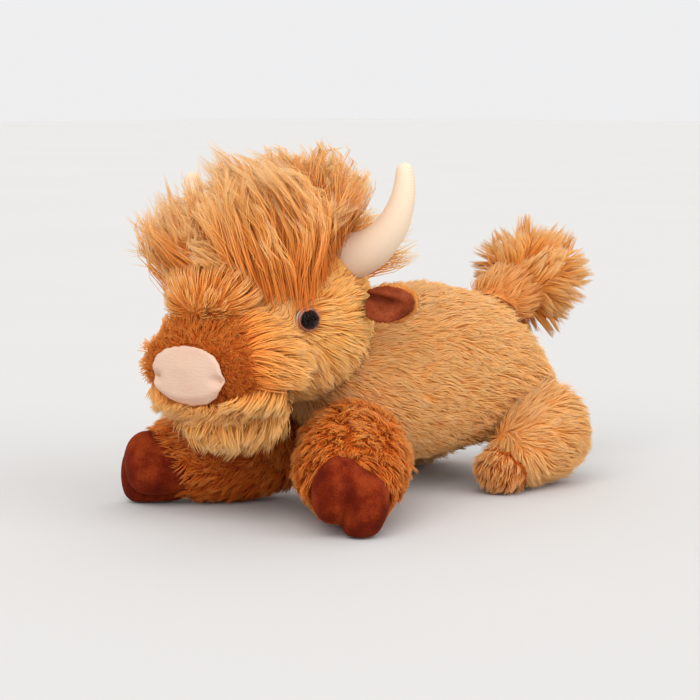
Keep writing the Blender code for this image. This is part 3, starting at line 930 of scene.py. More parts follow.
def hair_mesh(
    name: str,
    paths: Rows,
    width: float,
    tones: Rows,
    normals: Rows,
    rng: Chance,
) -> bpy.types.Mesh:
    """Makes closed three-sided hairs that taper to a point.

    Args:
        name: The mesh's name.
        paths: The hairs' points, root first.
        width: A hair's width at its widest.
        tones: Each hair's tone from 0 to 1.
        normals: The normal of the coat over each hair, which its shading leans toward.
        rng: The seeded source of chance.

    Returns:
        The mesh, whose UV map holds the tone and the share of the length.
    """
    count, points, _ = paths.shape
    rings = points - 1
    tangents = unit(np.gradient(paths, axis=1))
    guide = unit(rng.normal(size=(count, 1, 3)))
    across = unit(np.cross(tangents, guide))
    third = np.cross(tangents, across)
    shares = np.arange(rings) / rings
    radii = 0.5 * width * np.clip(1.05 - TAPER * shares**1.5, 0, 1)
    radii = radii[None, :, None] * rng.uniform(0.75, 1.2, (count, 1, 1))
    corners = np.empty((count, 3 * rings + 1, 3))
    shading = np.repeat(normals[:, None], 3 * rings + 1, axis=1)
    for corner in range(3):
        angle = 2 * math.pi * corner / 3
        ring = across[:, :rings] * math.cos(angle) + third[:, :rings] * math.sin(angle)
        corners[:, corner : 3 * rings : 3] = paths[:, :rings] + ring * radii
        shading[:, corner : 3 * rings : 3] += ROUNDNESS * unit(ring)
    corners[:, -1] = paths[:, -1]
    corners[:, :, 2] = np.maximum(corners[:, :, 2], FLOOR_MARGIN)
    faces = []
    for ring in range(rings - 1):
        for corner in range(3):
            low, high = 3 * ring, 3 * ring + 3
            after = (corner + 1) % 3
            faces.append((low + corner, low + after, high + after, high + corner))
    tip = 3 * rings
    last = 3 * (rings - 1)
    faces += [(last + corner, last + (corner + 1) % 3, tip) for corner in range(3)]
    faces.append((2, 1, 0))
    loops = np.array([corner for face in faces for corner in face])
    sizes = np.array([len(face) for face in faces])
    per_hair = 3 * rings + 1
    indices = (loops[None, :] + per_hair * np.arange(count)[:, None]).ravel()
    starts = np.concatenate(([0], np.cumsum(np.tile(sizes, count))[:-1]))
    mesh = bpy.data.meshes.new(name)
    mesh.vertices.add(count * per_hair)
    mesh.vertices.foreach_set("co", corners.astype(np.float32).ravel())
    mesh.loops.add(len(indices))
    mesh.loops.foreach_set("vertex_index", indices.astype(np.int32))
    mesh.polygons.add(len(starts))
    mesh.polygons.foreach_set("loop_start", starts.astype(np.int32))
    mesh.polygons.foreach_set("use_smooth", np.ones(len(starts), dtype=bool))
    layer = mesh.uv_layers.new(name=HAIR_MAP)
    spread = np.where(loops == tip, 0.0, (loops % 3 - 1) * 0.004)
    heights = np.where(loops == tip, 1.0, (loops // 3) / rings)
    coordinates = np.empty((count, len(loops), 2))
    coordinates[:, :, 0] = np.clip(tones, 0.01, 0.99)[:, None] + spread[None, :]
    coordinates[:, :, 1] = np.clip(heights, 0.005, 0.995)[None, :]
    layer.data.foreach_set("uv", coordinates.astype(np.float32).ravel())
    mesh.update(calc_edges=True)
    mesh.normals_split_custom_set_from_vertices(unit(shading).reshape(-1, 3))
    return mesh


@dataclass
class Coat:
    """The hairs of one coat, shared out into panels that each stay light enough."""

    name: str
    finish: FurFinish
    body: str
    nodes: tuple[str, ...]
    seed: int
    tone: float = 0.5
    lift: tuple[float, float, float] = SHADING_LIFT

    def grow(
        self,
        form: Piece,
        pile: Pile,
        flow: Flow,
        bounds: Bounds | None = None,
        keep: Measure | None = None,
        length: Measure | None = None,
        tone: Measure | None = None,
    ) -> list[Piece]:
        """Grows the coat on a form.

        Args:
            form: The cloth that the hairs grow from.
            pile: How the fur grows.
            flow: Gives the way that hairs are combed at places with normals.
            bounds: Solids that keep roots away.
            keep: Says at which places hairs grow.
            length: Gives the share of the pile's length at places.
            tone: Gives what is added to the tone at places.

        Returns:
            The coat's panels.
        """
        rng = np.random.default_rng(self.seed)
        roots = scatter(form, pile.density, rng)
        if keep is not None:
            roots = roots.some(keep(roots.places))
        if bounds is not None:
            roots = roots.some(bounds.clear(roots))
        lengths = np.full(len(roots.places), pile.length)
        if length is not None:
            lengths = lengths * length(roots.places)
        paths, locks = comb(pile, roots, flow(roots.places, roots.normals), lengths, rng)
        tones = self.tone + pile.tone_spread * (locks + rng.normal(0, HAIR_TONE_SHARE, len(paths)))
        if tone is not None:
            tones = tones + tone(roots.places)
        return self.panels(paths, pile.width, tones, roots.normals, rng)

    def panels(
        self,
        paths: Rows,
        width: float,
        tones: Rows,
        normals: Rows,
        rng: Chance,
    ) -> list[Piece]:
        """Makes the coat's pieces from its hairs.

        Args:
            paths: The hairs' points.
            width: A hair's width.
            tones: Each hair's tone.
            normals: The coat's normal over each hair.
            rng: The seeded source of chance.

        Returns:
            The pieces, from the cow's right to its left.
        """
        per_hair = 6 * (paths.shape[1] - 2) + 4
        number = max(1, math.ceil(len(paths) * per_hair / PANEL_TRIANGLES))
        normals = normals + np.array(self.lift)
        order = np.argsort(paths[:, 0, 0])
        made = []
        for index, part in enumerate(np.array_split(order, number), start=1):
            name = self.name if number == 1 else f"{self.name}_{index}"
            mesh = hair_mesh(name, paths[part], width, tones[part], normals[part], rng)
            piece = bpy.data.objects.new(name, mesh)
            bpy.context.scene.collection.objects.link(piece)
            made.append(dress(piece, self.finish, self.body, self.nodes))
        log.info("%s: %d hairs, %d triangles", self.name, len(paths), len(paths) * per_hair)
        return made


@dataclass(frozen=True)
class Strands:
    """How long hairs run from their roots, by way of bends, to tips that meet in locks."""

    locks: int
    tufts: int
    gather: float = 0.55
    bunch: float = 0.40
    uneven: float = 0.10
    stray: float = 0.0030
    wave: float = 0.0030
    points: int = 6
    short: float = 0.0

    def grow(
        self, roots: Rows, bends: Rows, tips: Rows, rng: Chance
    ) -> tuple[Rows, Rows]:
        """Grows the hairs.

        Args:
            roots: Where each hair starts.
            bends: The point that each hair curves toward.
            tips: Where each hair would end if none were uneven.
            rng: The seeded source of chance.

        Returns:
            The hairs' points, and the tone of each hair's lock.
        """
        leads, owners = share_out(tips, self.locks, rng)
        heads, members = share_out(tips, self.tufts, rng)
        groups = ((len(heads), members, 1.0), (len(leads), owners, 0.6))
        reach = 1 + self.uneven * 0.3 * rng.normal(size=len(tips))
        for number, group, size in groups:
            reach = reach + self.uneven * size * rng.uniform(-1, 1, number)[group]
            tips = tips + self.stray * size * rng.normal(size=(number, 3))[group]
        early = rng.random(len(leads)) < self.short
        reach = reach * np.where(early, rng.uniform(0.25, 0.85, len(leads)), 1)[owners]
        tips = bends + (tips - bends) * reach[:, None]
        share = np.linspace(0, 1, self.points)[None, :, None]
        paths = roots[:, None] * (1 - share) ** 2 + tips[:, None] * share**2
        paths = paths + bends[:, None] * 2 * share * (1 - share)
        for number, group, size in groups:
            phase = rng.uniform(0, 2 * math.pi, (number, 3))[group][:, None, :]
            swing = np.sin(phase + 1.3 * math.pi * share) - np.sin(phase)
            paths = paths + swing * np.sqrt(share) * self.wave * size
        tones = 0.6 * rng.normal(size=len(leads))[owners] + 0.8 * rng.normal(size=len(heads))[members]
        paths = gathered(paths, leads, owners, self.gather, 2.0)
        return gathered(paths, heads, members, self.bunch, 2.6), tones


@dataclass
class Torso:
    """The barrel of the body in short golden fur that lies back and down."""

    pile: Pile = Pile(
        density=430_000, length=0.0115, lean=(50, 84), lock=0.0032, gather=0.26, bunch=0.16, stray=9,
        lock_stray=13, width=0.0007, points=3, tone_spread=0.09,
    )
    swell: float = 0.0030
    rump: float = 0.070
    haunch: float = 0.018
    tail_root: tuple[float, float, float] = (-0.010, 0.108, 0.124)
    tail_aim: tuple[float, float, float] = (-0.010, 0.150, 0.143)
    tail_fill: float = 0.006

    def flow(self, places: Rows, normals: Rows) -> Rows:
        """Combs the fur back, down over the rump and flanks, and out along the tail's root."""
        way = np.zeros_like(places)
        behind = slope(places[:, 1], self.rump, 0.06)
        way[:, 1] = 1.0
        way[:, 2] = -0.30 - 0.6 * behind
        way[:, 0] = 0.12 * np.sign(places[:, 0])
        tail = closeness(places, ("tail",), 0.012)[:, None]
        return way * (1 - tail) + unit(np.array(self.tail_aim) - places) * tail

    def length(self, places: Rows) -> Rows:
        """Lets the fur grow longer where it runs over the hind legs and the tail's root."""
        legs = closeness(places, ("hind_leg_left_skin", "hind_leg_right_skin"), 0.012)
        return 1 + 0.9 * legs + 0.6 * closeness(places, ("tail",), 0.010)

    def fill_haunches(self, form: Piece) -> None:
        """Fills the form out toward the hind legs, where the rump runs into the thighs."""
        for vertex in form.data.vertices:
            behind = clamped((vertex.co.y - 0.045) / 0.060)
            low = math.exp(-(((vertex.co.z - 0.076) / 0.030) ** 2))
            side = max(-1.0, min(1.0, (vertex.co.x + 0.010) / 0.030))
            vertex.co += Vector((0.45 * side, 0.75, -0.15)) * self.haunch * behind * low
            apart = (vertex.co - Vector(self.tail_root)).length
            toward = (Vector(self.tail_aim) - vertex.co).normalized()
            vertex.co += toward * self.tail_fill * math.exp(-((apart / 0.022) ** 2))
        form.data.update()

    def build(self) -> None:
        """Builds the padding and grows its coat."""
        form = Padding("torso_padding", ("torso_stuffing",), swell=self.swell, smoothing=12).build()
        self.fill_haunches(form)
        dress(form, GOLDEN_BACKING, "torso", ("torso_stuffing", "torso_skin"))
        limbs = [f"{leg}_{side.word}_stuffing" for leg in ("foreleg", "hind_leg") for side in Side]
        bounds = Bounds(inside=("head_stuffing", "tail", *limbs), margin=0.001)
        coat = Coat("torso_fur", GOLDEN_FUR, "torso", ("torso_skin",), seed=11, tone=0.56)
        coat.grow(form, self.pile, self.flow, bounds, length=self.length)


@dataclass
class Head:
    """The head's ball: long cheeks, shorter crown, and fur that parts below the eyes."""

    pile: Pile = Pile(
        density=470_000, length=0.019, lean=(54, 88), lock=0.0044, gather=0.34, bunch=0.22, stray=7,
        lock_stray=9, droop=0.12, width=0.0008, tone_spread=0.08,
    )
    parting: float = -0.016
    swell: float = 0.0016
    eye_clearing: float = 0.0098
    wisps: int = 1200

    def eyes(self) -> list[Vector]:
        """Gives the middles of the two eye rims."""
        middles = []
        for side in Side:
            low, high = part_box(f"eye_{side.word}_rim")
            middles.append((low + high) / 2)
        return middles

    def flow(self, places: Rows, normals: Rows) -> Rows:
        """Combs the face up above the parting, down and back below it, and away from the eyes."""
        local = into(HEAD_FRAME.inverted(), places)
        side = np.sign(local[:, 0])
        upper = 1 / (1 + np.exp(-(local[:, 2] - self.parting) / 0.004))
        ahead = np.clip((-local[:, 1] - 0.020) / 0.025, 0, 1)
        crown = slope(local[:, 2], 0.040, 0.015)
        low = np.stack((0.30 * side, np.full(len(side), 0.75), np.full(len(side), -0.75)), axis=1)
        back = np.stack((0.10 * side, np.full(len(side), 0.95), 0.35 * (1 - crown)), axis=1)
        face = np.stack((0.55 * side, np.full(len(side), 0.30), np.full(len(side), 0.85)), axis=1)
        high = back * (1 - ahead[:, None]) + face * ahead[:, None]
        way = turned(HEAD_FRAME, high * upper[:, None] + low * (1 - upper[:, None]))
        for eye in self.eyes():
            apart = places - np.array(eye)
            distance = np.linalg.norm(apart, axis=1, keepdims=True)
            way = way + 2.2 * apart / distance * hump(distance, 0.013)
        return way

    def length(self, places: Rows) -> Rows:
        """Makes the cheeks long and the crown, nape and face round the eyes shorter."""
        local = into(HEAD_FRAME.inverted(), places)
        cheek = np.exp(-(((local[:, 2] + 0.030) / 0.030) ** 2))
        share = 0.60 + 0.50 * cheek
        for eye in self.eyes():
            distance = np.linalg.norm(places - np.array(eye), axis=1)
            share = share * (1 - 0.55 * hump(distance, 0.012))
        return share

    def keep(self, places: Rows) -> Rows:
        """Leaves the eyes bare."""
        kept = np.ones(len(places), dtype=bool)
        for eye in self.eyes():
            kept &= np.linalg.norm(places - np.array(eye), axis=1) > self.eye_clearing
        return kept

    def tone(self, places: Rows) -> Rows:
        """Paints shade on the temples, making them deeper, and makes the cheeks paler."""
        local = into(HEAD_FRAME.inverted(), places)
        temple_shade = np.exp(-(((local[:, 2] - 0.030) / 0.022) ** 2))
        # Painted shade: the temples are made deeper than the rest of the head.
        return 0.10 - 0.16 * temple_shade

    def build(self) -> None:
        """Builds the padding and grows its coat."""
        form = Padding("head_padding", ("head_stuffing",), swell=self.swell, smoothing=10).build()
        dress(form, GOLDEN_BACKING, "head", ("head_stuffing", "head_skin"))
        bounds = Bounds(
            inside=("torso_stuffing", "muzzle_stuffing", "horn_left", "horn_right"),
            facing=("torso_skin",),
            reach=0.004,
        )
        coat = Coat("head_fur", CHEEK_FUR, "head", ("head_skin",), seed=21, tone=0.66)
        coat.grow(form, self.pile, self.flow, bounds, self.keep, self.length, self.tone)
        self.build_wisps()

    def build_wisps(self) -> None:
        """Grows the long wisps of the nape, behind the horns."""
        rng = np.random.default_rng(23)
        turn = rng.uniform(-0.75, 0.75, self.wisps)
        rise = rng.uniform(0.30, 0.95, self.wisps)
        way = np.stack((np.sin(turn) * np.cos(rise), np.cos(turn) * np.cos(rise), np.sin(rise)), axis=1)
        roots = way * np.array((0.060, 0.067, 0.061))
        back = np.stack((0.9 * np.sin(turn), np.full(self.wisps, 0.75), np.full(self.wisps, 0.35)), axis=1)
        bends = roots + way * 0.007 + back * 0.010
        tips = roots + back * rng.uniform(0.030, 0.052, (self.wisps, 1))
        places = (into(HEAD_FRAME, points) for points in (roots, bends, tips))
        paths, locks = Strands(
            locks=160, tufts=36, stray=0.0025, wave=0.0020, points=5).grow(*places, rng
        )
        coat = Coat("nape_fur", MOP_FUR, "head", ("head_skin",), seed=23)
        coat.panels(paths, 0.0007, 0.75 + 0.1 * locks, turned(HEAD_FRAME, way), rng)


BEARD = Pile(
    density=520_000, length=0.021, lean=(24, 76), lock=0.0046, gather=0.34, bunch=0.25, stray=7,
    lock_stray=8, droop=0.15, width=0.0007, tone_spread=0.10,
)
BEARD_LIFT = (0.5, -0.7, 0.9)


def beard_flow(places: Rows, normals: Rows) -> Rows:
    """Combs the beard down, forward and outward."""
    way = np.zeros_like(places)
    way[:, 2] = -0.8
    way[:, 1] = -0.5
    way[:, 0] = 12.0 * (places[:, 0] - HEAD_FRAME.translation.x)
    return way


@dataclass
class Muzzle:
    """The short curly muzzle with its pale plush nose patch."""

    pile: Pile = Pile(
        density=950_000, length=0.0050, lean=(30, 70), lock=0.0022, gather=0.4, bunch=0.0, stray=28,
        lock_stray=45, curl=0.0005, curl_turns=0.7, width=0.00055, points=3, tone_spread=0.14,
    )
    collar: Pile = Pile(
        density=470_000, length=0.022, lean=(52, 88), lock=0.0042, gather=0.30, bunch=0.2, stray=7,
        lock_stray=10, droop=0.1, width=0.0008, tone_spread=0.08,
    )
    swell: float = 0.0026
    curls_reach: float = 0.046
    mouth: float = 0.085
    brow_fill: float = 0.006
    nose_widening: float = 0.24
    nostril_aside: float = 0.026
    nostril_height: float = -0.002
    nostril_depth: float = 0.0040
    nostril_size: float = 0.0052

    def from_nose(self, places: Rows) -> Rows:
        """Gives the way from the nose's middle to each place."""
        low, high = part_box("nose_patch")
        return places - np.array((low + high) / 2)

    def flow(self, places: Rows, normals: Rows) -> Rows:
        """Combs the curls away from the nose."""
        way = unit(self.from_nose(places))
        way[:, 1] += 0.6
        return way

    def collar_flow(self, places: Rows, normals: Rows) -> Rows:
        """Combs the collar back from the nose, and down at the sides."""
        way = unit(self.from_nose(places))
        way[:, 1] += 1.0
        way[:, 2] -= 0.45
        return way

    def length(self, places: Rows) -> Rows:
        """Lets the curls grow longer under the brow, which they meet."""
        return 1 + 1.1 * closeness(places, ("brow_tuft",), 0.009)

    def under(self, places: Rows) -> Rows:
        """Says what lies below the mouth, where the beard begins."""
        aside = np.abs(self.from_nose(places)[:, 0]) - 0.018
        rise = 0.45 * np.clip(aside, 0, 0.022)
        return places[:, 2] < self.mouth + rise + 0.0008 * np.sin(places[:, 0] * 1500)

    def near(self, places: Rows) -> Rows:
        """Says where the short curls grow, with a ragged edge."""
        wobble = 0.0012 * np.sin(places[:, 2] * 900) + 0.0010 * np.sin(places[:, 0] * 1300)
        close = np.linalg.norm(self.from_nose(places), axis=1) < self.curls_reach + wobble
        return close & ~self.under(places)

    def far(self, places: Rows) -> Rows:
        """Says where the collar of cheek fur grows."""
        apart = np.linalg.norm(self.from_nose(places), axis=1)
        return (apart > self.curls_reach - 0.002) & ~self.under(places)

    def tone(self, places: Rows) -> Rows:
        """Paints light on the muzzle's top and shade on its sides, so the top is paler than the sides."""
        # Painted light on the top of the muzzle, painted shade on its sides.
        return 0.38 * slope(places[:, 2], 0.112, 0.016) - 0.06

    def collar_tone(self, places: Rows) -> Rows:
        """Deepens the collar toward the curls."""
        apart = np.linalg.norm(self.from_nose(places), axis=1) - self.curls_reach
        return -0.45 * np.exp(-((np.clip(apart, 0, 1) / 0.012) ** 2))

    def build_fur(self) -> None:
        """Builds the padding, its curls, and the collar of cheek fur behind them."""
        form = Padding(
            "muzzle_padding", ("muzzle_stuffing",), voxel=0.003, swell=self.swell, smoothing=6).build(
        )
        for vertex in form.data.vertices:
            low = closeness(np.array([vertex.co]), ("brow_tuft",), 0.008)[0]
            vertex.co += Vector((0, -0.001, self.brow_fill)) * low
        form.data.update()
        dress(form, RUSTY_BACKING, "head", ("muzzle_stuffing", "muzzle_skin"))
        bounds = Bounds(inside=("head_stuffing",), facing=("nose_patch",), reach=0.0035)
        coat = Coat("muzzle_fur", MUZZLE_FUR, "head", ("muzzle_skin",), seed=31, tone=0.45)
        coat.grow(form, self.pile, self.flow, bounds, self.near, self.length, self.tone)
        coat = Coat("collar_fur", CHEEK_FUR, "head", ("muzzle_skin",), seed=33, tone=0.50)
        coat.grow(form, self.collar, self.collar_flow, bounds, self.far, tone=self.collar_tone)
        coat = Coat("lip_fur", CHEEK_FUR, "head", ("muzzle_skin",), seed=35, tone=0.55, lift=BEARD_LIFT)
        coat.grow(form, BEARD, beard_flow, bounds, self.under)

    def build_nose(self) -> None:
        """Builds the nose patch and presses its nostrils in."""
        patch = Padding(
            "nose_plush_patch", ("nose_patch",), voxel=0.0011, swell=0.0004, smoothing=6, fill=0.5).build(
        )
        low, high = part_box("nose_patch")
        middle = (low + high) / 2
        for vertex in patch.data.vertices:
            up = max(0.0, (vertex.co.z - middle.z) / (high.z - middle.z))
            vertex.co.x = middle.x + (vertex.co.x - middle.x) * (1 + self.nose_widening * up**2)
            vertex.co.z -= 0.06 * max(0.0, vertex.co.z - middle.z)
            for side in Side:
                nostril = (middle.x + side.value * self.nostril_aside, middle.z + self.nostril_height)
                spot = Vector((nostril[0], low.y, nostril[1]))
                aside = (vertex.co.x - spot.x) / self.nostril_size
                above = (vertex.co.z - spot.z) / (0.6 * self.nostril_size)
                vertex.co.y += self.nostril_depth * math.exp(-(aside**2) - above**2)
        patch.data.update()
        dress(patch, NOSE_PLUSH, "head", ("nose_patch",))

    def build(self) -> None:
        """Builds the muzzle and its nose."""
        self.build_fur()
        self.build_nose()


@dataclass
class FaceTufts:
    """The beard on the chin and the puff above the muzzle."""

    puff: Pile = Pile(
        density=620_000, length=0.016, lean=(44, 84), lock=0.0040, gather=0.36, bunch=0.2, stray=8,
        lock_stray=11, width=0.0007, tone_spread=0.10,
    )

    def puff_flow(self, places: Rows, normals: Rows) -> Rows:
        """Combs the puff up and out from its foot."""
        low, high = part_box("brow_tuft")
        foot = np.array([(low.x + high.x) / 2, low.y + 0.006, low.z + 0.007])
        way = unit(places - foot)
        way[:, 2] += 0.3
        return way

    def build(self) -> None:
        """Builds both tufts."""
        form = Padding("chin_padding", ("chin",), voxel=0.003, share=0.92, smoothing=6).build()
        dress(form, GOLDEN_BACKING, "head", ("chin",))
        bounds = Bounds(inside=("muzzle_stuffing",), facing=("nose_patch",))
        coat = Coat("chin_fur", CHEEK_FUR, "head", ("chin",), seed=41, tone=0.60, lift=BEARD_LIFT)
        coat.grow(form, BEARD, beard_flow, bounds)
        form = Padding("brow_padding", ("brow_tuft",), voxel=0.003, share=0.76, smoothing=6).build()
        dress(form, GOLDEN_BACKING, "head", ("brow_tuft",))
        coat = Coat("brow_fur", MOP_FUR, "head", ("brow_tuft",), seed=43, tone=0.22)
        coat.grow(form, self.puff, self.puff_flow, Bounds(inside=("muzzle_stuffing", "head_stuffing")))


@dataclass
class Forelock:
    """The long mop that rises from the forehead and opens out between the horns."""

    count: int = 13_500
    width: float = 0.00058
    head_radii: tuple[float, float, float] = (0.0614, 0.0691, 0.0629)
    foot_line: tuple[tuple[float, float], ...] = (
        (-180, 40), (-120, 58), (-60, 76), (0, 78), (36, 82),
        (58, 82), (74, 62), (90, 46), (112, 42), (180, 40),
    )
    crown_middle: tuple[float, float] = (-0.0185, -0.017)
    crown_radii: tuple[float, float] = (0.0755, 0.066)
    slant: float = 44.0
    edge_height: float = 0.066
    sweep: float = 0.10
    profile: tuple[tuple[float, float], ...] = (
        (-0.094, 0.060), (-0.084, 0.074), (-0.064, 0.071), (-0.054, 0.071), (-0.045, 0.088),
        (-0.004, 0.099), (0.022, 0.096), (0.042, 0.081), (0.059, 0.060),
    )

    def build(self) -> None:
        """Builds the core and the mop's hairs."""
        core = Padding(
            "forelock_padding", ("forelock",), voxel=0.005, share=0.56, smoothing=10, fill=0.4).build(
        )
        dress(core, GOLDEN_BACKING, "head", ("forelock",))
        rng = np.random.default_rng(51)
        out = rng.random(self.count) ** 0.42
        turn = rng.uniform(0, 2 * math.pi, self.count)
        along, across = out * np.cos(turn), out * np.sin(turn)
        slant = math.radians(self.slant)
        swept = along + self.sweep * np.clip(-across, 0, 1)
        aside = swept * math.cos(slant) - across * math.sin(slant)
        behind = swept * math.sin(slant) + across * math.cos(slant)
        out = np.hypot(aside, behind)
        aside, behind = (part / np.maximum(out, 1) for part in (aside, behind))
        out = np.minimum(out, 1)
        bearings, feet = zip(*self.foot_line)
        foot = np.interp(np.degrees(np.arctan2(aside, -behind)), bearings, feet)
        polar = np.radians(foot * out + rng.normal(0, 5.0, self.count))
        way = np.stack((np.sin(polar) * aside / out, np.sin(polar) * behind / out, np.cos(polar)), axis=1)
        roots = way * np.array(self.head_radii)
        run = self.crown_middle[0] + self.crown_radii[0] * along
        deep = self.crown_middle[1] + self.crown_radii[1] * across
        places, heights = zip(*self.profile)
        height = np.interp(run, places, heights)
        round_off = np.sqrt(np.clip(1 - (across**2 / np.clip(1 - along**2, 0.02, 1)) ** 2, 0, 1))
        height = self.edge_height + (height - self.edge_height) * round_off
        tips = np.stack(
            (
                run * math.cos(slant) - deep * math.sin(slant),
                run * math.sin(slant) + deep * math.cos(slant),
                height,
            ),
            axis=1,
        )
        flare = np.clip(-along - 0.2, 0, 1)[:, None]
        bow = np.array((0.22, 0.22, 0.62)) + flare * np.array((0.45, 0.45, -0.40))
        bends = roots + (tips - roots) * bow
        bends = bends + unit(roots) * 0.004
        placed = (into(HEAD_FRAME, points) for points in (roots, bends, tips))
        strands = Strands(
            locks=1500,
            tufts=150,
            gather=0.26,
            bunch=0.24,
            uneven=0.12,
            stray=0.0050,
            wave=0.0062,
            points=5,
            short=0.28,
        )
        paths, locks = strands.grow(*placed, rng)
        tones = 0.34 + 0.13 * locks + rng.normal(0, 0.17, len(paths))
        outward = unit(paths[:, -1] - paths[:, 0] + 2.0 * (paths[:, 2] - HEAD_FRAME.translation))
        coat = Coat("forelock_fur", MOP_FUR, "head", ("forelock",), seed=51)
        coat.panels(paths, self.width, tones, outward, rng)


@dataclass
class Horn:
    """A stuffed horn of ribbed cloth that curves out and up to a round tip."""

    side: Side
    base: float = 0.033
    tip: float = 0.012
    length: float = 0.088
    root: tuple[float, float, float] = (0.042, 0.020, 0.034)
    start: float = 4.0
    end: float = 98.0
    rings: int = 14

    def stations(self) -> list[tuple[Vector, float, float]]:
        """Works out the horn's rings.

        Returns:
            Each ring's middle in the head's frame, its lean in radians and its radius.
        """
        start, end = math.radians(self.start), math.radians(self.end)
        bend = (end - start) / self.length
        tip = self.tip / 2
        straight = self.length - tip
        runs = [straight * index / self.rings for index in range(self.rings + 1)]
        radii = [self.base / 2 + (tip - self.base / 2) * run / straight for run in runs]
        for angle in (22, 44, 62, 78, 86):
            runs.append(straight + tip * math.sin(math.radians(angle)))
            radii.append(tip * math.cos(math.radians(angle)))
        found = []
        for run, radius in zip(runs, radii):
            lean = start + bend * run
            aside = (math.sin(lean) - math.sin(start)) / bend
            rise = (math.cos(start) - math.cos(lean)) / bend
            middle = Vector((self.side.value * aside, 0, rise)) + Vector(
                (self.side.value * self.root[0], self.root[1], self.root[2])
            )
            found.append((middle, lean, radius))
        return found

    def build(self) -> None:
        """Extrudes the horn ring by ring and dresses it."""
        stations = self.stations()
        middle, lean, radius = stations[0]
        turn = self.side.value * (math.pi / 2 - lean)
        bpy.ops.object.select_all(action="DESELECT")
        bpy.ops.mesh.primitive_circle_add(
            vertices=28, radius=radius, fill_type="NGON", location=middle, rotation=(0, turn, 0)
        )
        horn = bpy.context.active_object
        horn.name = f"horn_{self.side.word}_cloth"
        bpy.ops.object.transform_apply(location=True, rotation=True, scale=True)
        open_edit()
        for (before, old_lean, old_radius), (after, new_lean, new_radius) in zip(stations, stations[1:]):
            bpy.ops.mesh.extrude_region_move(TRANSFORM_OT_translate={"value": after - before})
            bpy.ops.transform.resize(value=(new_radius / old_radius,) * 3, center_override=after)
            bpy.ops.transform.rotate(
                value=self.side.value * (new_lean - old_lean), orient_axis="Y", center_override=after
            )
        close_edit()
        horn.data.transform(HEAD_FRAME)
        smooth = horn.modifiers.new("soft", "SUBSURF")
        smooth.levels = smooth.render_levels = 1
        apply_modifiers(horn)
        bpy.ops.object.shade_smooth()
        dress(horn, HORN_CLOTH, "head", (f"horn_{self.side.word}",))


@dataclass
class Ear:
    """A small ear: short fur behind, and a suede lining pinched into a fold."""

    side: Side
    pile: Pile = Pile(
        density=520_000, length=0.0060, lean=(50, 84), lock=0.004, gather=0.3, stray=9, lock_stray=14
    )
    fold_depth: float = 0.0050
    fold_width: float = 0.0022
    set_back: float = 0.0036
    spread: float = 1.07

    def flow(self, places: Rows, normals: Rows) -> Rows:
        """Combs the fur from the ear's root to its tip."""
        return steady(places, self.side.value, 0.4, 0.0)

    def build(self) -> None:
        """Builds the ear's two pieces."""
        word = self.side.word
        body = f"ear_{word}"
        low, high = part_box(f"{body}_lining")
        middle = (low + high) / 2
        reach = (high.x - low.x) / 2
        back = Padding(
            f"{body}_padding", (f"{body}_back",), voxel=0.0016, swell=-0.0006, smoothing=5, fill=0.4).build(
        )
        for vertex in back.data.vertices:
            vertex.co.y += self.set_back * clamped((high.y + 0.004 - vertex.co.y) / 0.006)
        back.data.update()
        dress(back, GOLDEN_BACKING, body, (f"{body}_back",))
        bounds = Bounds(facing=(f"{body}_lining",), reach=0.010)
        coat = Coat(
            f"{body}_fur", GOLDEN_FUR, body, (f"{body}_back",), seed=61 + self.side.value, tone=0.40
        )
        coat.grow(back, self.pile, self.flow, bounds)
        lining = Padding(
            f"{body}_suede", (f"{body}_lining",), voxel=0.0009, swell=0.0006, smoothing=5, fill=0.4).build(
        )
        for vertex in lining.data.vertices:
            out = self.side.value * (vertex.co.x - middle.x) / reach
            line = middle.z + 0.0020 - 0.0030 * out
            above = (vertex.co.z - line) / self.fold_width
            pinch = max(0.0, min(1.0, (0.75 - out) / 0.8))
            vertex.co.x = middle.x + self.spread * (vertex.co.x - middle.x)
            vertex.co.z = middle.z + self.spread * (vertex.co.z - middle.z)
            vertex.co.y += self.fold_depth * pinch * math.exp(-(above**2))
            vertex.co.y -= 0.0026 * pinch * math.exp(-((above - 1.9) ** 2))
        lining.data.update()
        dress(lining, EAR_SUEDE, body, (f"{body}_lining",))


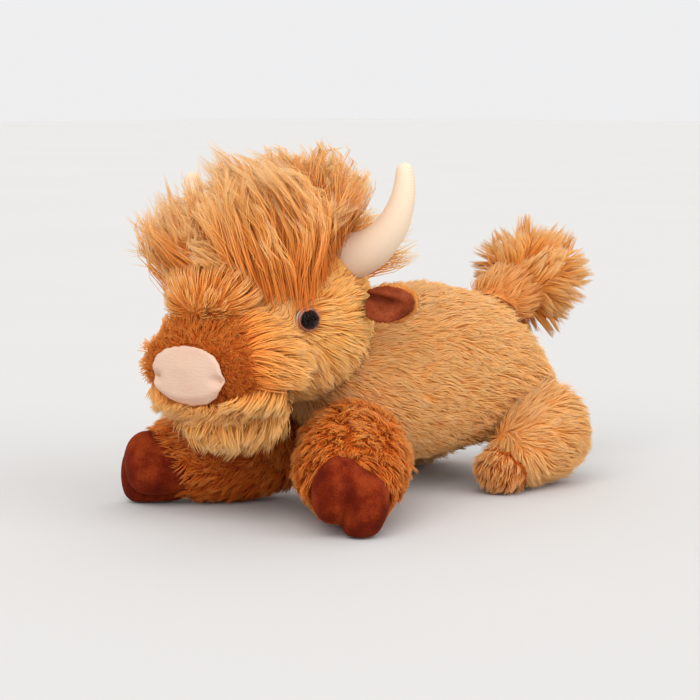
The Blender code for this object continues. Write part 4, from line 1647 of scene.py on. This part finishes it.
@dataclass
class Eye:
    """A glossy safety eye: a domed pupil on a thin brown rim."""

    side: Side
    pupil_radius: float = 0.0060
    dome: float = 0.0036
    pupil_edge: float = 0.0008
    pupil_seat: float = 0.0018
    rim_radius: float = 0.0069
    rim_thickness: float = 0.0010
    shank: float = 0.0020
    shank_length: float = 0.0080

    def seat(self) -> Matrix:
        """Finds the eye's place and the way that it looks.

        Returns:
            A frame whose Z axis runs out along the shank.
        """
        rim_low, rim_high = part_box(f"eye_{self.side.word}_rim")
        low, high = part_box(f"eye_{self.side.word}_washer")
        middle = (rim_low + rim_high) / 2
        outward = middle - (low + high) / 2
        return Matrix.Translation(middle) @ outward.to_track_quat("Z", "Y").to_matrix().to_4x4()

    def build_pupil(self, seat: Matrix) -> None:
        """Builds the dome with its shank.

        Args:
            seat: The eye's frame.
        """
        bpy.ops.object.select_all(action="DESELECT")
        bpy.ops.mesh.primitive_uv_sphere_add(segments=48, ring_count=32, radius=self.pupil_radius)
        pupil = bpy.context.active_object
        pupil.name = f"eye_{self.side.word}_dome"
        open_edit()
        bpy.ops.mesh.bisect(plane_co=(0, 0, 0), plane_no=(0, 0, 1), clear_inner=True, use_fill=True)
        bpy.ops.mesh.select_all(action="SELECT")
        bpy.ops.transform.resize(value=(1, 1, self.dome / self.pupil_radius), center_override=(0, 0, 0))
        bpy.ops.mesh.select_mode(type="FACE")
        bpy.ops.object.mode_set(mode="OBJECT")
        for polygon in pupil.data.polygons:
            polygon.select = abs(polygon.center.z) < DOUBLES and polygon.normal.z < -0.9
        bpy.ops.object.mode_set(mode="EDIT")
        bpy.ops.mesh.extrude_region_move(TRANSFORM_OT_translate={"value": (0, 0, -self.pupil_edge)})
        bpy.ops.mesh.inset(thickness=self.pupil_radius - self.shank)
        bpy.ops.mesh.extrude_region_move(TRANSFORM_OT_translate={"value": (0, 0, -self.shank_length)})
        close_edit()
        pupil.data.transform(seat @ Matrix.Translation((0, 0, self.pupil_seat)))
        bpy.ops.object.shade_smooth_by_angle(angle=math.radians(50))
        dress(pupil, PUPIL_GLOSS, "head", (f"eye_{self.side.word}_pupil",))

    def build_rim(self, seat: Matrix) -> None:
        """Builds the rim ring with its rolled edge.

        Args:
            seat: The eye's frame.
        """
        bpy.ops.object.select_all(action="DESELECT")
        bpy.ops.mesh.primitive_torus_add(
            major_segments=56,
            minor_segments=16,
            major_radius=self.rim_radius,
            minor_radius=self.rim_thickness,
        )
        rim = bpy.context.active_object
        rim.name = f"eye_{self.side.word}_ring"
        open_edit()
        bpy.ops.transform.resize(value=(1, 1, 1.3), center_override=(0, 0, 0))
        flat = -0.8 * self.rim_thickness
        bpy.ops.mesh.bisect(plane_co=(0, 0, flat), plane_no=(0, 0, 1), clear_inner=True, use_fill=False)
        bpy.ops.mesh.select_all(action="SELECT")
        bpy.ops.mesh.select_mode(type="EDGE")
        bpy.ops.mesh.select_all(action="DESELECT")
        bpy.ops.mesh.select_non_manifold()
        bpy.ops.mesh.bridge_edge_loops()
        close_edit()
        rim.data.transform(seat)
        bpy.ops.object.shade_smooth_by_angle(angle=math.radians(50))
        dress(rim, RIM_GLOSS, "head", (f"eye_{self.side.word}_rim",))

    def build(self) -> None:
        """Builds the eye and finishes its hidden washer."""
        seat = self.seat()
        self.build_pupil(seat)
        self.build_rim(seat)
        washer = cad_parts[f"eye_{self.side.word}_washer"]
        washer.data.materials.clear()
        washer.data.materials.append(WASHER_PLASTIC.material())


@dataclass
class Foreleg:
    """A stuffed foreleg in curly fur, with a suede hoof of two toes."""

    side: Side
    pile: Pile = Pile(
        density=520_000, length=0.0115, lean=(34, 76), lock=0.0040, gather=0.42, bunch=0.15, stray=16,
        lock_stray=34, curl=0.0009, curl_turns=0.7, width=0.00065, tone_spread=0.14,
    )
    swell: float = 0.0030
    hoof_narrowing: float = 0.10
    hoof_stretch: float = 0.7
    hoof_rise: float = 1.08
    crease_depth: float = 0.0070
    crease_width: float = 0.0042
    crease_top: float = 0.034

    def flow(self, places: Rows, normals: Rows) -> Rows:
        """Combs the curls down and toward the hoof."""
        return steady(places, 0.5 * self.side.value, -0.8, -0.5)

    def length(self, places: Rows) -> Rows:
        """Lets the fur grow longer round the hoof, which it frames."""
        toes = (f"foreleg_{self.side.word}_inner_toe", f"foreleg_{self.side.word}_outer_toe")
        return 1 + 0.35 * closeness(places, toes, 0.008)

    def tone(self, places: Rows) -> Rows:
        """Paints light toward the top of the leg and shade toward its foot, so the top is paler than the
        foot.
        """
        # Painted light toward the shoulder, painted shade toward the foot.
        return 0.8 * (np.clip(places[:, 2] / 0.075, 0, 1) - 0.55)

    def crease(self, hoof: Piece, toes: Sequence[str]) -> None:
        """Presses in the crease that parts the hoof's two toes.

        Args:
            hoof: The rounded hoof.
            toes: The CAD nodes of its inner and outer toe.
        """
        inner, outer = ((low + high) / 2 for low, high in (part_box(toe) for toe in toes))
        apart = (outer - inner).normalized()
        middle = (inner + outer) / 2
        for vertex in hoof.data.vertices:
            vertex.co.z = max(vertex.co.z, 0.0)
            off = (vertex.co - middle).dot(apart) / self.crease_width
            low = clamped((self.crease_top - vertex.co.z) / 0.016)
            inward = (middle - vertex.co) * Vector((1, 1, 0.2))
            vertex.co += inward.normalized() * self.crease_depth * low * math.exp(-(off**2))
        hoof.data.update()

    def build(self) -> None:
        """Builds the padding, the curls and the hoof."""
        word = self.side.word
        body = f"foreleg_{word}"
        form = Padding(f"{body}_padding", (f"{body}_stuffing",), swell=self.swell, smoothing=10).build()
        dress(form, RUSTY_BACKING, body, (f"{body}_stuffing", f"{body}_skin"))
        toes = (f"{body}_inner_toe", f"{body}_outer_toe")
        hoof = Padding(
            f"{body}_hoof", toes, voxel=0.0016, swell=-0.0010, smoothing=30, fill=0.8, hull=True).build(
        )
        middle = sum((vertex.co for vertex in hoof.data.vertices), Vector()) / len(hoof.data.vertices)
        along = Vector((0.70 * self.side.value, -0.714, 0))
        across = Vector((0.714 * self.side.value, 0.70, 0))
        for vertex in hoof.data.vertices:
            off = vertex.co - middle
            behind = min(off.dot(along), 0.0)
            vertex.co += along * behind * self.hoof_stretch - across * off.dot(across) * self.hoof_narrowing
            vertex.co.z *= self.hoof_rise
        self.crease(hoof, toes)
        dress(hoof, HOOF_SUEDE, body, toes)
        bounds = Bounds(inside=("torso_stuffing",), margin=0.0005, forms=(hoof,))
        coat = Coat(
            f"{body}_fur", CURLY_FUR, body, (f"{body}_skin",), seed=71 + self.side.value, tone=0.45
        )
        coat.grow(form, self.pile, self.flow, bounds, length=self.length, tone=self.tone)


@dataclass
class HindLeg:
    """A stuffed hind leg in the body's fur, with a dark furry toe cap."""

    side: Side
    pile: Pile = Pile(
        density=410_000, length=0.0125, lean=(46, 84), lock=0.0038, gather=0.30, stray=8, lock_stray=12,
        points=3, width=0.00065, tone_spread=0.10,
    )
    cap_pile: Pile = Pile(
        density=600_000, length=0.0095, lean=(35, 72), lock=0.0036, gather=0.5, stray=9, lock_stray=12,
        width=0.0006,
    )
    swell: float = 0.0022

    def flow(self, places: Rows, normals: Rows) -> Rows:
        """Combs the thigh back and down, and its front over the toe cap."""
        way = steady(places, 0.35 * self.side.value, 0.9, -0.25)
        cap = closeness(places, (f"hind_leg_{self.side.word}_hoof",), 0.012)[:, None]
        return way * (1 - cap) + np.array((0.2 * self.side.value, 0.1, -0.95)) * cap

    def length(self, places: Rows) -> Rows:
        """Lets the fur grow longer toward the torso and over the toe cap."""
        cap = closeness(places, (f"hind_leg_{self.side.word}_hoof",), 0.008)
        return 1 + 0.6 * closeness(places, ("torso_skin",), 0.012) + 0.4 * cap

    def cap_flow(self, places: Rows, normals: Rows) -> Rows:
        """Combs the toe cap forward and down."""
        return steady(places, 0.0, -0.5, -1.0)

    def cap_tone(self, places: Rows) -> Rows:
        """Makes the toe cap paler toward its top, where it runs into the leg's fur."""
        return 0.9 * slope(places[:, 2], 0.018, 0.018)

    def build(self) -> None:
        """Builds the leg and its toe cap."""
        body = f"hind_leg_{self.side.word}"
        form = Padding(f"{body}_padding", (f"{body}_stuffing",), swell=self.swell, smoothing=10).build()
        dress(form, GOLDEN_BACKING, body, (f"{body}_stuffing", f"{body}_skin"))
        bounds = Bounds(inside=("torso_stuffing",), margin=0.001)
        coat = Coat(
            f"{body}_fur", GOLDEN_FUR, body, (f"{body}_skin",), seed=81 + self.side.value, tone=0.50
        )
        coat.grow(form, self.pile, self.flow, bounds, length=self.length)
        cap = Padding(
            f"{body}_cap_padding", (f"{body}_hoof",), voxel=0.003, swell=-0.0035, smoothing=6).build(
        )
        dress(cap, RUSTY_BACKING, body, (f"{body}_hoof",))
        coat = Coat(
            f"{body}_cap_fur", HOOF_FUR, body, (f"{body}_hoof",), seed=91 + self.side.value, tone=0.45
        )
        bounds = Bounds(inside=(f"{body}_stuffing",), margin=0.001)
        coat.grow(cap, self.cap_pile, self.cap_flow, bounds, tone=self.cap_tone)


@dataclass
class Tail:
    """The tail: a fur tube that rises behind the rump, and its long tuft."""

    pile: Pile = Pile(
        density=400_000, length=0.0135, lean=(38, 78), lock=0.0040, gather=0.45, stray=8, lock_stray=12,
        width=0.0006,
    )
    lift: float = 24.0
    root: tuple[float, float, float] = (-0.010, 0.108, 0.120)
    root_fill: float = 0.008
    tuft_count: int = 8000
    tuft_open: float = 122.0
    tuft_radius: float = 0.042

    def flow(self, places: Rows, normals: Rows) -> Rows:
        """Combs the tube toward its end."""
        return steady(places, 0.0, math.cos(math.radians(self.lift)), math.sin(math.radians(self.lift)))

    def build(self) -> None:
        """Builds the tube and its tuft."""
        form = Padding("tail_padding", ("tail",), voxel=0.004, swell=-0.0055, smoothing=8).build()
        way = Vector((0, math.cos(math.radians(self.lift)), math.sin(math.radians(self.lift))))
        for vertex in form.data.vertices:
            run = (vertex.co - Vector(self.root)).dot(way)
            vertex.co -= way * self.root_fill * clamped(1 - run / 0.016)
        form.data.update()
        dress(form, GOLDEN_BACKING, "tail", ("tail",))
        coat = Coat("tail_fur", GOLDEN_FUR, "tail", ("tail",), seed=101, tone=0.12)
        coat.grow(form, self.pile, self.flow, Bounds(inside=("torso_stuffing",), margin=0.0005))
        core = Padding(
            "tuft_padding", ("tail_tuft",), voxel=0.004, share=0.42, smoothing=10, fill=0.4).build(
        )
        dress(core, RUSTY_BACKING, "tail", ("tail_tuft",))
        low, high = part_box("tail_tuft")
        axis = Matrix.Rotation(math.radians(self.lift - 90.0), 4, "X")
        place = Matrix.Translation((low + high) / 2) @ axis
        rng = np.random.default_rng(103)
        out = rng.random(self.tuft_count) ** 0.6
        turn = rng.uniform(0, 2 * math.pi, self.tuft_count)
        polar = out * math.radians(self.tuft_open)
        way = np.stack((np.sin(polar) * np.cos(turn), np.sin(polar) * np.sin(turn), np.cos(polar)), axis=1)
        roots = way * 0.012 + np.array((0.0, 0.0, -0.016))
        tips = way * self.tuft_radius
        bends = roots + (tips - roots) * np.array((0.45, 0.45, 0.60))
        placed = (into(place, points) for points in (roots, bends, tips))
        strands = Strands(locks=380, tufts=56, uneven=0.16, stray=0.0030, wave=0.0020, points=4)
        paths, locks = strands.grow(*placed, rng)
        tones = 0.12 + 0.10 * locks + rng.normal(0, 0.10, len(paths))
        coat = Coat("tuft_fur", MOP_FUR, "tail", ("tail_tuft",), seed=103)
        coat.panels(paths, 0.0007, tones, turned(place, way), rng)


@dataclass(frozen=True)
class SoftLight:
    """A wide, soft studio light that is as strong near as far."""

    name: str
    azimuth: float
    elevation: float
    spread: float
    strength: float


@dataclass
class Studio:
    """The camera at the photograph's angle, a plain pale floor and soft lamps."""

    camera_place: tuple[float, float, float] = (1.0846, -1.1185, 0.2778)
    aim: tuple[float, float, float] = (-0.0456, 0.0044, 0.0978)
    lens: float = 115.0
    floor_size: float = 40.0
    floor_colour: Colour = (0.60, 0.595, 0.59)
    lamps: tuple[SoftLight, ...] = (
        SoftLight("key", 30.0, 42.0, 50.0, 1.6),
        SoftLight("fill", 100.0, 25.0, 60.0, 1.25),
        SoftLight("front", 25.0, 6.0, 60.0, 0.6),
        SoftLight("back", 215.0, 50.0, 50.0, 0.5),
    )
    world_light: float = 0.75

    def build_camera(self) -> None:
        """Places the camera and aims it."""
        camera = bpy.data.cameras.new("camera")
        camera.lens = self.lens
        camera.sensor_width = 36.0
        camera.clip_start = 0.05
        holder = bpy.data.objects.new("camera", camera)
        bpy.context.scene.collection.objects.link(holder)
        holder.location = self.camera_place
        toward = Vector(self.aim) - Vector(self.camera_place)
        holder.rotation_euler = toward.to_track_quat("-Z", "Y").to_euler()
        bpy.context.scene.camera = holder

    def build_floor(self) -> None:
        """Lays the floor."""
        bpy.ops.object.select_all(action="DESELECT")
        bpy.ops.mesh.primitive_plane_add(size=self.floor_size)
        floor = bpy.context.active_object
        floor.name = "floor"
        graph = Graph("floor_paper")
        cloud = graph.noise(graph.place(), 1.5)
        darker = tuple(0.98 * value for value in self.floor_colour)
        graph.base(cloud, ((0.3, darker), (0.7, self.floor_colour)))
        graph.finish(0.9, specular=0.1)
        floor.data.materials.append(graph.material)

    def build_lamps(self) -> None:
        """Hangs the lights round the object."""
        for lamp in self.lamps:
            light = bpy.data.lights.new(lamp.name, "SUN")
            light.angle = math.radians(lamp.spread)
            light.energy = lamp.strength
            holder = bpy.data.objects.new(lamp.name, light)
            bpy.context.scene.collection.objects.link(holder)
            azimuth, elevation = math.radians(lamp.azimuth), math.radians(lamp.elevation)
            out = Vector((math.sin(azimuth), -math.cos(azimuth), math.tan(elevation))).normalized()
            holder.location = out * 2.0
            holder.rotation_euler = (-out).to_track_quat("-Z", "Y").to_euler()

    def build_world(self) -> None:
        """Lights the scene evenly and shows a pale backdrop to camera and mirror rays."""
        world = bpy.data.worlds.new("studio")
        bpy.context.scene.world = world
        world.use_nodes = True
        nodes, links = world.node_tree.nodes, world.node_tree.links
        nodes.clear()
        light = nodes.new("ShaderNodeBackground")
        light.inputs["Color"].default_value = (1.0, 0.985, 0.96, 1.0)
        light.inputs["Strength"].default_value = self.world_light
        backdrop = nodes.new("ShaderNodeBackground")
        backdrop.inputs["Color"].default_value = (0.86, 0.86, 0.87, 1.0)
        path = nodes.new("ShaderNodeLightPath")
        seen, mirrored = nodes.new("ShaderNodeMath"), nodes.new("ShaderNodeMath")
        seen.operation = mirrored.operation = "MAXIMUM"
        mix = nodes.new("ShaderNodeMixShader")
        output = nodes.new("ShaderNodeOutputWorld")
        links.new(path.outputs["Is Camera Ray"], seen.inputs[0])
        links.new(path.outputs["Is Glossy Ray"], seen.inputs[1])
        links.new(seen.outputs["Value"], mirrored.inputs[0])
        links.new(path.outputs["Is Transmission Ray"], mirrored.inputs[1])
        links.new(mirrored.outputs["Value"], mix.inputs["Fac"])
        links.new(light.outputs["Background"], mix.inputs[1])
        links.new(backdrop.outputs["Background"], mix.inputs[2])
        links.new(mix.outputs["Shader"], output.inputs["Surface"])

    def build(self) -> None:
        """Builds the whole studio."""
        self.build_camera()
        self.build_floor()
        self.build_lamps()
        self.build_world()
        bpy.context.scene.view_settings.view_transform = "Standard"


def main() -> None:
    """Dresses the cow from nose to tail."""
    logging.basicConfig(level=logging.INFO, format="%(message)s")
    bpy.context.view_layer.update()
    Studio().build()
    Torso().build()
    Head().build()
    Muzzle().build()
    FaceTufts().build()
    Forelock().build()
    for side in Side:
        Horn(side).build()
        Ear(side).build()
        Eye(side).build()
        Foreleg(side).build()
        HindLeg(side).build()
    Tail().build()


if __name__ == "__main__":
    main()
